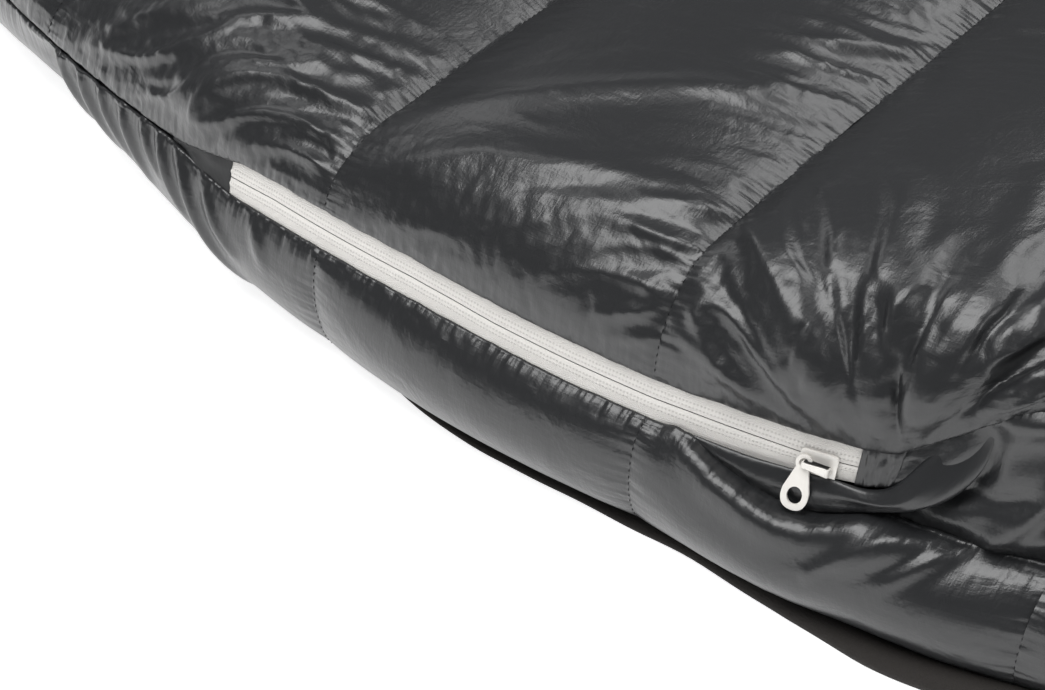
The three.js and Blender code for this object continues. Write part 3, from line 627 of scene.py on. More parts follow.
def sewn(piece, body, slot, *nodes):
    """Fixes a finished piece to its body in place of the plain solids that it stands for."""
    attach(piece, body)
    if nodes:
        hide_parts(*nodes)
    return piece


@contextmanager
def editing(piece):
    """A piece's mesh, open for changes."""
    mesh = bmesh.new()
    mesh.from_mesh(piece.data)
    yield mesh
    mesh.to_mesh(piece.data)
    mesh.free()


def edges_merged(piece, distance, closed=False):
    """Merges doubled points, and on a closed piece fills its ends and points its faces out."""
    with editing(piece) as mesh:
        bmesh.ops.remove_doubles(mesh, verts=mesh.verts, dist=distance)
        if closed:
            bmesh.ops.holes_fill(mesh, edges=[e for e in mesh.edges if e.is_boundary])
            bmesh.ops.recalc_face_normals(mesh, faces=mesh.faces)
    return piece


def creased(piece, degrees):
    """Smooth shading, with an edge where the surface turns by more than an angle."""
    picked(piece)
    bpy.ops.object.shade_smooth_by_angle(angle=math.radians(degrees))
    return piece


shell = creased(edges_merged(joined(chamber_pieces, "shell_cover"), 0.00003), 50)
sewn(shell, "quilt", "shell_nylon", "outer_shell")

# ---- Baffle stitching ----
# Black polyester thread that sews the shell to the baffle walls, a row of short stitches sunk
# in the valley between two chambers.

STITCH_LENGTH, STITCH_GAP, STITCH_LIFT, THREAD = 2.2, 1.1, 0.15, 0.28


def thread_rows(name, lines):
    """Short stitches along lines of points in mm, each a slim four-sided spindle."""
    points, faces = [], []
    for line, normals in lines:
        walked = np.append(0, np.cumsum(np.linalg.norm(np.diff(line, axis=0), axis=1)))
        for start in np.arange(STITCH_GAP, walked[-1] - STITCH_LENGTH, STITCH_LENGTH + STITCH_GAP):
            ends = [np.array([np.interp(at, walked, line[:, axis]) for axis in range(3)])
                    for at in (start, start + STITCH_LENGTH / 2, start + STITCH_LENGTH)]
            out = np.array([np.interp(start, walked, normals[:, axis]) for axis in range(3)])
            out /= np.linalg.norm(out)
            side = np.cross(ends[2] - ends[0], out)
            side /= np.linalg.norm(side)
            middle = ends[1] + out * STITCH_LIFT
            first = len(points)
            points += [ends[0], middle + out * THREAD, middle + side * THREAD,
                       middle - out * THREAD, middle - side * THREAD, ends[2]]
            for a, b in ((1, 2), (2, 3), (3, 4), (4, 1)):
                faces += [(first, first + b, first + a), (first + 5, first + a, first + b)]
    mesh = bpy.data.meshes.new(name)
    mesh.from_pydata(place(points).tolist(), [], faces)
    return linked(name, mesh)


def seam_line(k):
    """The visible run of a baffle seam and the shell's outward direction along it."""
    line = section(SEAMS[k], 0)
    visible = len(line) - COUNTS["side"] - COUNTS["low"]
    tangent = np.gradient(line, axis=0)
    out = np.column_stack([np.zeros(len(line)), -tangent[:, 2], tangent[:, 1]])
    side = slice(-COUNTS["side"] + 1, -1)
    return [(line[1:visible], out[1:visible]), (line[side], out[side])]


black_thread, thread_tree = finish_material("black_thread", (0.006, 0.006, 0.007), 0.6, 0.3)
bump(thread_tree, noise_at(thread_tree, object_at(thread_tree), 2600.0), 0.0001)
stitches = thread_rows("baffle_stitches", [run for k in range(1, 12) for run in seam_line(k)])
stitches.data.materials.append(black_thread)
edges_merged(stitches, 1e-7, closed=True)
sewn(stitches, "quilt", "shell_nylon")

# ---- Zip tape ----
# Two off-white woven polyester tapes, their coil sewn on behind with two rows of thread and
# their outer edges sewn under the shell. They meet at a fine gap along the middle.

ZIP_START, ZIP_END = -213.0, 84.0
TAPE_UP, TAPE_DOWN, TAPE_TUCK = 8.6, 8.8, 2.5
TAPE_GAP, TAPE_DRAWN = 0.24, 0.42
# Lines of (x, measure): how the sewn tape's middle sways.
SWAY = ([-236, -208, -196, -184, -150, -110, -89, -70, -34, 0, 16, 32, 48, 64, 77, 86],
        [-0.8, -0.4, 0.4, 1.2, 1.3, 1.7, 1.1, 0, -0.7, -0.8, -0.1, 0.4, 1.0, 1.5, 3.2, 4.4])


def on_strip(x, height, out):
    """A point on the leaning side, at a height above the near line and standing out from it."""
    y, z = near_line(x)
    return x, y + height * LEAN - out, z + height


def on_tape(x, height, out):
    """The same from the sewn tape's own middle, which sways a little and is drawn up at its end."""
    tucked = height * (1 - TAPE_DRAWN * ease((x - 25) / 55)) if height < 0 else height
    return on_strip(x, tucked + read_off(SWAY, x), out)


STITCH_ROWS, STITCH_ROW_WIDTH, STITCH_PITCH = (0.0021, 0.0038), 0.00055, 0.00145
RIB_PITCH, ZIGZAG, RIBS_FROM = 0.0011, 0.0016, 0.0047
tape_weave, tape_tree = finish_material("tape_weave", (0.78, 0.75, 0.7), 0.78, 0.25)


def tape_sum(operation, *values):
    """The output of one Math node in the tape's material."""
    return sums(tape_tree, operation, *values)


tape_uv = node(tape_tree, "ShaderNodeSeparateXYZ", {"Vector": cloth_uv(tape_tree)}).outputs
tape_height = tape_sum("ABSOLUTE", tape_uv["Y"])
stitch_dots_and_shade = tape_sum("SINE", tape_sum("MULTIPLY", tape_uv["X"], 2 * math.pi / STITCH_PITCH))
rows_of_dots = 0.0
for row_height in STITCH_ROWS:
    near_row = tape_sum("ABSOLUTE", tape_sum("SUBTRACT", tape_height, row_height))
    row = tape_sum("SUBTRACT", 1.0, tape_sum("MULTIPLY", near_row, 1 / STITCH_ROW_WIDTH))
    rows_of_dots = tape_sum("ADD", rows_of_dots, tape_sum("MAXIMUM", row, 0.0))
stitch_dots_and_shade = tape_sum("MULTIPLY", tape_sum("MULTIPLY_ADD", stitch_dots_and_shade, 0.5, 0.5), rows_of_dots)
zigzag = tape_sum("MULTIPLY_ADD", tape_sum("PINGPONG", tape_uv["Y"], ZIGZAG), 1.3, tape_uv["X"])
rib = tape_sum("SINE", tape_sum("MULTIPLY", zigzag, 2 * math.pi / RIB_PITCH))
rib = tape_sum("MULTIPLY", rib, tape_sum("GREATER_THAN", tape_height, RIBS_FROM))
tape_fuzz = noise_at(tape_tree, cloth_uv(tape_tree), 1900.0)
relief = tape_sum("MULTIPLY_ADD", stitch_dots_and_shade, 1.4, tape_sum("MULTIPLY", rib, 0.30))
bump(tape_tree, tape_sum("MULTIPLY_ADD", tape_fuzz, 0.7, relief), 0.0002)
# The stitch dots darken the tape's colour: painted shade between the stitches, while the same dots
# raise the stitches in the bump.
shade = tape_sum("MULTIPLY_ADD", stitch_dots_and_shade, -0.55, tape_sum("MULTIPLY_ADD", rib, 0.10, 0.75))
shade = tape_sum("MULTIPLY_ADD", tape_fuzz, 0.35, shade)
tinted(tape_tree, shade, (0.42, 0.405, 0.385), (0.71, 0.69, 0.66))

COIL_RIDGE, COIL_AT, COIL_WIDE, TAPE_SHORT, TAPE_THICK = 0.36, 2.6, 1.7, 1.5, 0.00045
for name, levels in (("zip_tape_upper", np.linspace(TAPE_GAP, TAPE_UP + TAPE_TUCK, 15)),
                     ("zip_tape_lower", np.linspace(-TAPE_DOWN - TAPE_TUCK, -TAPE_GAP, 18))):
    woven = []
    for x in np.linspace(ZIP_START, ZIP_END - TAPE_SHORT, 241):
        ripple = 0.05 * noise.noise((x * 0.045, 0.0 if levels[0] > 0 else 9.0, 0.0))
        row = []
        for h in levels:
            ridge = COIL_RIDGE * math.exp(-(((abs(h) - COIL_AT) / COIL_WIDE) ** 2))
            row.append(on_tape(x, h, 0.05 + ridge + ripple * (abs(h) - TAPE_GAP)))
        woven.append(row)
    tape = grid_object("woven_" + name, woven, tape_weave, across=levels)
    applied(tape, "SOLIDIFY", thickness=TAPE_THICK, offset=-1)
    sewn(creased(tape, 50), "quilt", "zip_tape", name)

# ---- Zip coil ----
# Nylon monofilament wound into a coil and sewn along each tape. On this zip both coils lie
# behind the tapes, so they keep their plain shape and get their own finish: a dark grey, far
# darker than the off-white coil, which is painted shade for the thin slot between the tapes.

coil_in_painted_shade, coil_tree = finish_material("coil_in_painted_shade", (0.10, 0.095, 0.09), 0.5)
turns = node(coil_tree, "ShaderNodeTexWave", {"Vector": object_at(coil_tree), "Scale": 220.0,
                                              "Distortion": 0.2})
bump(coil_tree, turns.outputs["Fac"], 0.0003)
for name in ("zip_coil_upper", "zip_coil_lower"):
    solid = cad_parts[name]
    solid.data.materials.clear()
    solid.data.materials.append(coil_in_painted_shade)

# ---- Slider, pull and stops ----
# A die-cast zinc slider in off-white baked enamel: a body round the tapes, a crown over it, and
# a long pull with an oval finger hole, whose eye turns on the crown's foot-side leg. Small
# stops of the same zinc, clamped on the tapes, end its travel.

enamel, enamel_tree = finish_material("baked_enamel", (0.74, 0.715, 0.675), 0.3, 0.5)
enamel_at = object_at(enamel_tree)
bump(enamel_tree, noise_at(enamel_tree, enamel_at, 900.0), 0.00006)
wear = sums(enamel_tree, "MULTIPLY_ADD", noise_at(enamel_tree, enamel_at, 160.0), 0.9, 0.6)
tinted(enamel_tree, wear, (0.66, 0.635, 0.595), (0.76, 0.735, 0.695))
shader_inputs(enamel_tree)["Coat Weight"].default_value = 0.35
shader_inputs(enamel_tree)["Coat Roughness"].default_value = 0.18
FLAT_WITHIN, ROUNDED_FROM, SHADED_FROM = 3, 38, 35


def rounded(name, new_name, material, slot, body, width, swell=0.0):
    """A copy of a hard part with its edges rounded, in its place, and taller towards the head."""
    piece = linked(new_name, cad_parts[name].data.copy())
    edges_merged(piece, 0.000004)
    with editing(piece) as flat:
        bmesh.ops.dissolve_limit(flat, angle_limit=math.radians(FLAT_WITHIN), verts=flat.verts,
                                 edges=flat.edges)
        ends = [min(v.co.x for v in flat.verts), max(v.co.x for v in flat.verts)]
        middle = sum(v.co.z for v in flat.verts) / len(flat.verts)
        for v in flat.verts:
            taller = 1 + swell * ease((v.co.x - ends[0]) / (ends[1] - ends[0]))
            v.co.z = middle + (v.co.z - middle) * taller
    piece.data.materials.clear()
    piece.data.materials.append(material)
    applied(piece, "BEVEL", width=width, segments=3, limit_method="ANGLE",
            angle_limit=math.radians(ROUNDED_FROM), harden_normals=False)
    return sewn(creased(piece, SHADED_FROM), body, slot, name)


rounded("slider_body", "enamelled_slider", enamel, "painted_zinc", "slider", 0.00035)
rounded("slider_crown", "enamelled_crown", enamel, "painted_zinc", "slider", 0.00065, swell=0.8)
rounded("pull_tab", "enamelled_pull", enamel, "painted_zinc", "pull", 0.0004)
for stop in ("top_stop_upper", "top_stop_lower", "bottom_stop"):
    rounded(stop, "enamelled_" + stop, enamel, "painted_zinc", "quilt", 0.0002)

# ---- Zip garages ----
# Folded tabs of nylon sewn over both ends of the tape, slightly gathered. The glossy one at
# the head end stops the slider's nose, and the matte one at the foot end covers the bottom stop.

TAB_THICK = 0.0004


def puffed_tab(name, material, ends, out, bulge, ribs, columns=44, rows=36):
    """A small folded tab that stands out from the strip, puckered along its length. Each end is
    its (x, lower edge, upper edge)."""
    ends, grid = np.array(ends), []
    for along in np.linspace(0, 1, columns):
        x, low, high = ends[0] + (ends[1] - ends[0]) * along
        row = []
        for up in np.linspace(0, 1, rows):
            dome = (max(0.0, math.sin(math.pi * along)) * max(0.0, math.sin(math.pi * up))) ** 0.28
            pucker = noise.noise((along * ribs, up * 1.6, ends[0][0]))
            pucker += 0.5 * noise.noise((along * ribs * 2.3, up * 3, 5.0))
            row.append(on_strip(x, low + (high - low) * up, out + dome * (bulge + 1.3 * pucker)))
        grid.append(row)
    tab = grid_object(name, grid, material)
    return creased(applied(tab, "SOLIDIFY", thickness=TAB_THICK, offset=-1), 60)


sewn(puffed_tab("garage_at_head", shell_nylon, ((80, -3.6, 13.6), (95, 1.2, 17)), 0.7, 1.5, 5.0),
     "quilt", "shell_nylon", "zip_garage_head")
taffeta, taffeta_tree = finish_material("black_taffeta", (0.01, 0.0105, 0.011), 0.55, 0.3)
taffeta_uv = cloth_uv(taffeta_tree)
weave = node(taffeta_tree, "ShaderNodeTexWave", {"Vector": taffeta_uv, "Scale": 420.0}).outputs["Fac"]
weave = sums(taffeta_tree, "MULTIPLY", weave, 0.03)
bump(taffeta_tree, sums(taffeta_tree, "MULTIPLY_ADD", noise_at(
    taffeta_tree, taffeta_uv, 60.0, 3.0), 0.6, weave), 0.001)
tinted(taffeta_tree, sums(taffeta_tree, "ADD", noise_at(taffeta_tree, taffeta_uv, 12.0), 0.5),
       (0.007, 0.0075, 0.008), (0.012, 0.0125, 0.0135))
sewn(puffed_tab("garage_at_foot", taffeta, ((-246, -2.6, 2.0), (-209, -10.2, 9.8)), 0.3, 0.9, 1.6),
     "quilt", "shell_nylon", "zip_garage_foot")

# ---- Side gusset ----
# A wedge of shell nylon between the upper and lower layer where the zip ends, sewn in along
# both edges and drawn into folds by the end of the zip.

GUSSET_START, GUSSET_END, GUSSET_POINT = 94.0, 309.0, (88, -4)
# The two edges of the draft tube's roll, as (x, height), which the gusset's cloth dips beside.
ROLL_LOW = ([14, 30, 45, 60, 72, 87, 104, 115, 121, 122.5, 120],
            [-10.5, -13, -17, -19.5, -17.5, -11, -2.5, 5.5, 16, 26, 36])
ROLL_HIGH = ([14, 30, 45, 60, 72, 85, 94, 98, 102, 107, 113],
             [-8, -7, -6, -4.5, -3, -2.5, 2, 9, 17, 25, 32])
ROLL_STEPS, ROLL_SIDES = 84, 26


def even_line(line, count):
    """Evenly spaced points along a smooth curve through a line's points."""
    line = np.array(line, float).T
    at = np.append(0, np.cumsum(np.linalg.norm(np.diff(line, axis=0), axis=1)))
    fine = np.linspace(0, at[-1], count * 4)
    curve = np.column_stack([np.interp(fine, at, line[:, axis]) for axis in range(2)])
    reach = count // 3
    kernel = np.hanning(2 * reach + 1)
    kernel /= kernel.sum()
    longer = np.pad(curve, ((reach, reach), (0, 0)), mode="reflect", reflect_type="odd")
    smooth = [np.convolve(longer[:, axis], kernel, "valid") for axis in range(2)]
    return np.column_stack(smooth)[::4][:count]


low_edge, high_edge = even_line(ROLL_LOW, ROLL_STEPS), even_line(ROLL_HIGH, ROLL_STEPS)
gusset_rows, gusset_heights, gusset_rims = [], [], []
for x in np.linspace(GUSSET_START, GUSSET_END, 150):
    low, high = -read_off(STRIP_DOWN, x) - 1.5, read_off(STRIP_UP, x) + 1.5
    row = []
    for h in np.linspace(low, high, 48):
        free = max(0.0, math.sin(math.pi * (h - low) / (high - low))) ** 0.6
        across, along = h - GUSSET_POINT[1], x - GUSSET_POINT[0]
        angle, far = math.atan2(across, along), math.hypot(along, across)
        fold = noise.noise((angle * 2.6, far * 0.016, 3.0))
        fold += 0.3 * noise.noise((angle * 6, far * 0.03, 8.0))
        crease = math.exp(-((np.linalg.norm(low_edge - (x, h), axis=1).min() / 6) ** 2))
        row.append(on_strip(x, h, -0.6 + free * (2.5 + 4 * fold - 6 * crease)))
        gusset_heights.append(h)
        gusset_rims.append(math.exp(-min(h - low, high - h) / 5))
    gusset_rows.append(row)
gusset = grid_object("gusset_cloth", folded(
    np.array(gusset_rows), np.reshape(gusset_heights, (len(gusset_rows), -1)), [
        ("upper", [(122, 38), (140, 44), (170, 46)], 5.0, 5.5),
        ("upper", [(128, -8), (140, 8), (156, 30)], 4.5, 4.5),
        ("upper", [(134, -6), (160, 8), (200, 16)], 4.0, 5.0)]), shell_nylon)
marked(gusset, "rim", np.array(gusset_rims))
sewn(gusset, "quilt", "shell_nylon", "side_gusset")


# ---- Draft tube ----
# An insulated tube of shell nylon sewn along the inside of the zip. Past the slider it comes
# out from under the tape as a soft roll, turns up round the end of the zip and is sewn in above.

DRAFT_RADIUS, DRAFT_SETBACK, DRAFT_SIDES = 4.4, 10.6, 20


def tube(name, rings, material):
    """A closed tube from its rings, with both ends filled."""
    piece = grid_object(name, rings, material, closed=True)
    return edges_merged(piece, 0.00001, closed=True)


roll_rows = []
for i in range(ROLL_STEPS):
    along = i / (ROLL_STEPS - 1)
    thick = 3.0 * min(1.0, along / 0.22) ** 0.7 + 2.2 * ease((along - 0.5) / 0.2)
    thick *= 1 - 0.9 * ease((along - 0.72) / 0.26)
    ring = []
    for turn in np.linspace(0, 2 * math.pi, ROLL_SIDES, endpoint=False):
        share = 0.5 - 0.5 * math.cos(turn)
        x, h = low_edge[i] + (high_edge[i] - low_edge[i]) * share
        crumple = 1 + 0.2 * noise.noise((along * 2, share * 4, 2.0))
        crumple += 0.12 * noise.noise((along * 9, share * 3, 6.0))
        puff = thick * (0.9 if turn < math.pi else 0.5) * math.sin(turn) * crumple
        sunk = 2.4 * ease((along - 0.75) / 0.25)
        ring.append(on_strip(x, h, 0.4 - sunk + thick * 0.5 + puff))
    roll_rows.append(ring)
roll = applied(tube("draft_roll", roll_rows, shell_nylon), "SUBSURF", levels=1, render_levels=1)
sewn(roll, "quilt", "shell_nylon")

draft_rows = []
for x in np.arange(-228, 135, 4.0):
    y, z = near_line(x)
    radius = DRAFT_RADIUS * (1 + 0.06 * noise.noise((x * 0.05, 0, 0)))
    turns = np.linspace(math.pi, -math.pi, DRAFT_SIDES, endpoint=False)
    draft_rows.append([(x, y + DRAFT_SETBACK + radius * math.cos(turn), z + radius * math.sin(turn))
                       for turn in turns])
draft = tube("draft_tube_cloth", draft_rows, shell_nylon)
sewn(draft, "quilt", "shell_nylon", "draft_tube")

# ---- Side seam and side bindings ----
# On the foot side of the zip the two layers are sewn together. On the head side, where the
# quilt opens, each layer's raw edge is wrapped in a narrow folded strip of the shell nylon.

SEAM_WIDTH = 1.5
seam_rows = []
for x in np.arange(TOE_SEAM + 1, -238, 2.0):
    pinch = 0.4 * noise.noise((x * 0.12, 0, 0))
    half = SEAM_WIDTH + 1.5 * ease((x + 262) / 20)
    seam_rows.append([on_strip(x, half * t + pinch, -0.6 - 2.0 * t**4)
                      for t in np.linspace(-1.25, 1.25, 15)])
# The seam is drawn in the black taffeta, darker than the shell nylon it joins: painted shade in the
# sunk seam's crease.
sewn(grid_object("felled_side_seam", seam_rows, taffeta), "quilt", "shell_nylon", "side_seam")

BINDING_START, BINDING_SETBACK, BINDING_DEPTH = 312, 1.9, 3.1
for name, low, high in (("side_binding_upper", 3.4, 7.2), ("side_binding_lower", -7.2, -3.4)):
    rows = []
    for x in np.arange(BINDING_START, HEAD_SEAM, 4.0):
        depth = BINDING_DEPTH + 0.25 * noise.noise((x * 0.2, low, 0))
        centre, half = (low + high) / 2, (high - low) / 2
        turns = np.linspace(-math.pi / 2, 1.5 * math.pi, 16, endpoint=False)
        rows.append([on_strip(x, centre + half * math.sin(turn),
                              depth * math.cos(turn) - BINDING_SETBACK) for turn in turns])
    sewn(tube("folded_" + name, rows, shell_nylon), "quilt", "shell_nylon", name)

# ---- Liner ----
# One layer of soft black taffeta that faces the sleeper, sewn to the shell at the edges and to
# the foot of every baffle wall, and slightly slack between them.

SPACE_ENDS, SPACE_MIDDLE = 5.0, 33.0
LINING_IN, LINING_DOWN, LINER_SAG, LINER_SLACK = 5.5, 3.4, 1.2, 1.02
# Lines of (x, height) of the liner's edges above and below the zip.
LINING_UP = ([-250, -236, 98, 135, 155, 232.5, 310], [1.8, 8, 8, 34, 36, 36, 8])
LINING_LOW = ([-250, -236, 232.5, 310], [1.8, 11, 11, 8])


def lining(x, slack=0.0):
    """Outline of the liner at x, with the same number of points as the shell's outline."""
    near_y, near_z = near_line(x)
    up, down = read_off(LINING_UP, x), read_off(LINING_LOW, x)
    middle = (seam_low(x) + seam_top(x) - TOP_DIP) / 2
    growth = ease((x - TOE_SEAM) / 350) * ease((HEAD_SEAM - x) / (1.6 * PITCH))
    half = SPACE_ENDS + (SPACE_MIDDLE - SPACE_ENDS) * growth - slack
    y, z = near_y + up * LEAN - PROUD, near_z + up
    share = np.linspace(0, 1, COUNTS["near"], endpoint=False)
    near = [y + LINING_IN + (NEAR_ROUND - LINING_IN) * share,
            z + LINING_DOWN + (middle + half - z - LINING_DOWN) * np.clip((share - 0.3) / 0.7, 0, 1)]
    fold = fold_side(x) - FOLD_ROUND
    share = graded(COUNTS["top"], fold - y - NEAR_ROUND)
    over = [y + NEAR_ROUND + (fold - y - NEAR_ROUND) * share, 0 * share + middle + half]
    turn = math.pi / 2 - np.linspace(0, math.pi, COUNTS["fold"], endpoint=False)
    bend = [fold + half * np.cos(turn), middle + half * np.sin(turn)]
    share = np.linspace(0, 1, COUNTS["low"], endpoint=False)
    below = [fold + (near_y + NEAR_ROUND - fold) * share, 0 * share + middle - half]
    share = np.linspace(0, 1, COUNTS["side"])
    y, z = near_y - down * LEAN - PROUD + LINING_IN, near_z - down - LINING_DOWN
    side = [near_y + NEAR_ROUND + (y - near_y - NEAR_ROUND) * share,
            middle - half + (z - middle + half) * share]
    return outline(x, near, over, bend, below, side)


liner_rows = []
for k in range(12):
    for t in np.linspace(0, 1, 9)[(k > 0):]:
        sag = LINER_SAG * math.sin(math.pi * t)
        liner_rows.append(lining(between_seams(k, t), slack=sag)[::3])
liner = grid_object("liner_cloth", liner_rows, taffeta, flip=True)
sewn(liner, "quilt", "liner_nylon", "inner_liner")

# ---- Down fill and baffle walls ----
# Loose down fills each chamber, plumper in its middle. Between two chambers a wall of fine
# mesh holds shell and liner apart, so that no seam goes right through the quilt.

down, down_tree = finish_material("loose_down", (0.62, 0.58, 0.51), 0.95, 0.1)
down_at = object_at(down_tree)
clusters = node(down_tree, "ShaderNodeTexVoronoi", {"Vector": down_at, "Scale": 70.0})
clusters = clusters.outputs["Distance"]
bump(down_tree, sums(down_tree, "ADD", clusters, noise_at(down_tree, down_at, 400.0)), 0.004)
tinted(down_tree, clusters, (0.72, 0.68, 0.61), (0.45, 0.42, 0.37))
mesh_cloth, mesh_tree = finish_material("baffle_mesh", (0.03, 0.03, 0.033), 0.7, 0.3)
cells = node(mesh_tree, "ShaderNodeTexVoronoi", {"Vector": scaled(mesh_tree, cloth_uv(
    mesh_tree), (900, 900, 1)), "Scale": 1.0}).outputs["Distance"]
bump(mesh_tree, cells, 0.0004)
tinted(mesh_tree, cells, (0.05, 0.05, 0.055), (0.015, 0.015, 0.017))

FILL_INSET, FILL_GAP, WALL_HEIGHT = 5.0, 0.9, 0.03


def inward(line, distance):
    """An outline in the YZ plane, moved in towards its own inside."""
    tangent = np.gradient(line, axis=0)
    length = np.hypot(tangent[:, 1], tangent[:, 2])
    side = np.column_stack([np.zeros(len(line)), tangent[:, 2] / length, -tangent[:, 1] / length])
    return line + side * distance


def capped(piece, ring_count):
    """Closes both ends of a piece whose rings run out along one layer and back along the other."""
    with editing(piece) as mesh:
        mesh.verts.ensure_lookup_table()
        for first in (0, len(mesh.verts) - ring_count):
            for a in range(ring_count // 2 - 1):
                b = ring_count - 1 - a
                mesh.faces.new([mesh.verts[first + q] for q in (a, a + 1, b - 1, b)])
        bmesh.ops.recalc_face_normals(mesh, faces=mesh.faces)
    return piece


for k in range(12):
    rows = []
    for t in np.linspace(0, 1, 11):
        x, puff = between_seams(k, t, FILL_GAP), 0.5 * max(0.0, math.sin(math.pi * t))
        outer = inward(section(x, puff), FILL_INSET)[6:-6:4]
        ring = np.concatenate([outer, lining(x, slack=-1.6)[6:-6:4][::-1]])
        ring[:, 2] += [0.5 * noise.noise((q[0] * 0.05, q[1] * 0.05, k)) for q in ring]
        rows.append(ring)
    fill = capped(grid_object(f"down_fill_{k + 1:02d}", rows, down, closed=True), len(rows[0]))
    sewn(fill, "quilt", "down_fill", f"down_chamber_{k + 1:02d}")

for k in range(1, 12):
    outer, inner = inward(section(SEAMS[k], 0), 0.8)[6:-6:3], lining(SEAMS[k], slack=-0.9)[6:-6:3]
    rows = [outer + (inner - outer) * t + (0.5 * math.sin(math.pi * t), 0, 0)
            for t in np.linspace(0, 1, 5)]
    wall = grid_object(f"baffle_mesh_{k:02d}", rows, mesh_cloth, across=np.arange(len(outer)) * 3.0)
    sewn(wall, "quilt", "baffle_mesh", f"baffle_wall_{k:02d}")

# ---- Toe panel ----
# The closed end of the footbox: an oval of shell nylon over its own down and a liner, gathered
# onto the last chamber so that it puffs out past the seam.

TOE_DEPTH, TOE_RINGS, TOE_PUCKER = 34.0, 14, 1.1


def toe_ring(outline, turn, depth, inset):
    """One ring of the toe's dome; turn runs from 0 at the seam to a quarter at its middle."""
    centre = outline.mean(axis=0)
    ring = centre + (inward(outline, inset) - centre) * max(0.02, math.cos(turn)) ** 0.9
    ring[:, 0] = TOE_SEAM - depth * math.sin(turn)
    return ring


toe_outline = section(TOE_SEAM, 0)[::2]
for name, inset, depth, first, material, slot, stands_for in (
        ("toe_cover", 0.0, TOE_DEPTH, 0.0, shell_nylon, "shell_nylon", "toe_panel"),
        ("toe_down", 1.8, TOE_DEPTH - 3, 0.05, down, "down_fill", "toe_fill"),
        ("toe_lining", 2.2, 1.2, 0.0, taffeta, "liner_nylon", "toe_liner")):
    rows = []
    for i in range(TOE_RINGS + 1):
        turn = first + (math.pi / 2 - 0.02 - first) * i / TOE_RINGS
        ring = toe_ring(toe_outline, turn, depth, inset)
        pucker = TOE_PUCKER * math.sin(2 * turn) if name == "toe_cover" else 0.0
        ring[:, 0] += [pucker * noise.noise((q[1] * 0.16, q[2] * 0.16, 0)) for q in ring]
        rows.append(ring)
    piece = edges_merged(grid_object(name, rows, material, closed=True, flip=True), 0.00002)
    if name == "toe_down":
        edges_merged(piece, 0.00002, closed=True)
    sewn(piece, "quilt", slot, stands_for)

# ---- Base panel ----
# A matte brown-black panel on the underside, sewn on beyond the zip. Its rolled edge stands out
# a little from under the chambers, more towards the head. Its brown-black colour is painted
# shadow: it stands for the deep shade under the quilt's lower edge.

BASE_START, EDGE_WIDE = -200.0, 16
base_cloth, base_tree = finish_material("base_cloth_painted_shadow", (0.022, 0.0195, 0.018), 0.85, 0.25)
base_at = object_at(base_tree)
base_weave = noise_at(base_tree, base_at, 1400.0)
bump(base_tree, sums(base_tree, "MULTIPLY_ADD", noise_at(
    base_tree, base_at, 60.0), 3.0, base_weave), 0.0003)
tinted(base_tree, sums(base_tree, "MULTIPLY_ADD", base_weave, 0.6, 0.5),
       (0.017, 0.015, 0.0135), (0.028, 0.025, 0.023))
base_rows = []
for x in np.append(np.arange(BASE_START, 320, 5.0), np.arange(320, HEAD_SEAM + 1, 15.0)):
    growth = ease((x + 60) / 230)
    beyond = 4 + 20 * growth - 16 * ease((-70 - x) / 110)
    beyond += 13 * ease((x - 20) / 110) * ease((450 - x) / 150)
    near = near_line(x)[0] - beyond + 1.2 * noise.noise((x * 0.03, 1.0, 0))
    far = fold_side(x) - 25
    roll_height = 3.2 + 5.0 * growth
    edge = [(near + EDGE_WIDE * (1 - math.cos(turn)) / 2,
             GROUND + 0.1 + roll_height * math.sin(turn) ** 0.8 * (1 - 0.3 * turn / math.pi))
            for turn in np.linspace(0, math.pi * 0.86, 14)]
    lifted = [(near + EDGE_WIDE + (far - near - EDGE_WIDE) * t, GROUND + 3.0)
              for t in np.linspace(0.03, 1, 12)]
    ground = [(far + (near - far) * t, GROUND + 0.05) for t in np.linspace(0, 0.995, 12)]
    base_rows.append([(x, *q) for q in edge + lifted + ground])
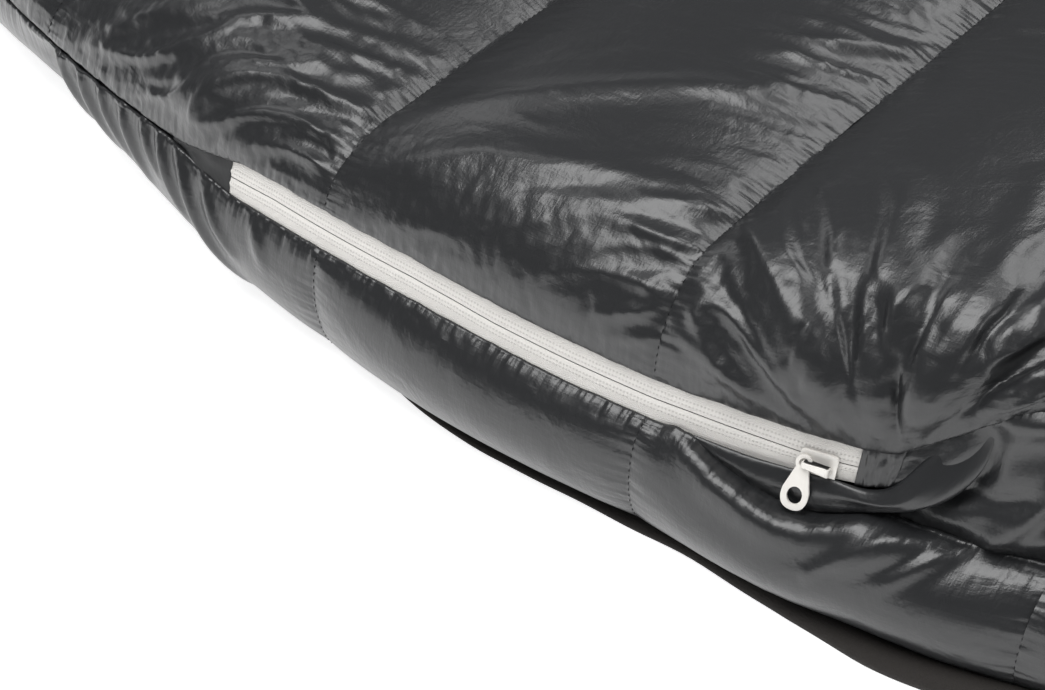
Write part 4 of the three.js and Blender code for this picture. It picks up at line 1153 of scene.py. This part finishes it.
base = tube("base_cloth_panel", base_rows, base_cloth)
sewn(base, "quilt", "base_cloth", "base_panel")

# ---- Drawcord channel and eyelets ----
# The head end is closed by a folded channel of shell nylon for a neck drawcord, which comes out
# through two small metal eyelets. It is drawn up a little between its stitches.

HEM_LENGTH, HEM_TAPER, HEM_GATHER = 21.0, 1.2, 0.7
hem_rows = []
for x in np.linspace(HEAD_SEAM + 0.2, HEAD_SEAM + HEM_LENGTH, 12):
    share = (x - HEAD_SEAM) / HEM_LENGTH
    outer = inward(section(HEAD_SEAM, 0), 0.9 + HEM_TAPER * share)[3:-3:2]
    ring = np.concatenate([outer, lining(HEAD_SEAM, slack=-HEM_TAPER * share)[3:-3:2][::-1]])
    gather = HEM_GATHER * math.sin(math.pi * share)
    ring[:, 2] += [gather * noise.noise((q[1] * 0.12, x * 0.03, 4.0)) for q in ring]
    ring[:, 0] = x
    hem_rows.append(ring)
hem = capped(grid_object("drawcord_channel", hem_rows, shell_nylon, closed=True), len(hem_rows[0]))
sewn(hem, "quilt", "shell_nylon", "head_hem")

gunmetal, metal_tree = finish_material("gunmetal", (0.055, 0.055, 0.06), 0.35, 0.5, 0.9)
scuffs = noise_at(metal_tree, scaled(metal_tree, object_at(metal_tree), (400, 400, 1600)), 1.0, 3.0)
bump(metal_tree, scuffs, 0.00004)
tinted(metal_tree, sums(metal_tree, "ADD", scuffs, 0.5), (0.04, 0.04, 0.045), (0.09, 0.09, 0.095))
for eyelet in ("eyelet_upper", "eyelet_lower"):
    rounded(eyelet, "rolled_" + eyelet, gunmetal, "dark_metal", "quilt", 0.00025)

# ---- Neck snap ----
# Two folded tabs of shell nylon at the neck, closed with a spring snap: cap and stud on the
# upper tab, socket and backing disc on the lower one.

for tab in ("snap_tab_upper", "snap_tab_lower"):
    rounded(tab, "folded_" + tab, shell_nylon, "shell_nylon", "quilt", 0.00055)
for part in ("snap_cap", "snap_stud", "snap_socket", "snap_back"):
    rounded(part, "pressed_" + part, gunmetal, "dark_metal", "quilt", 0.0002)
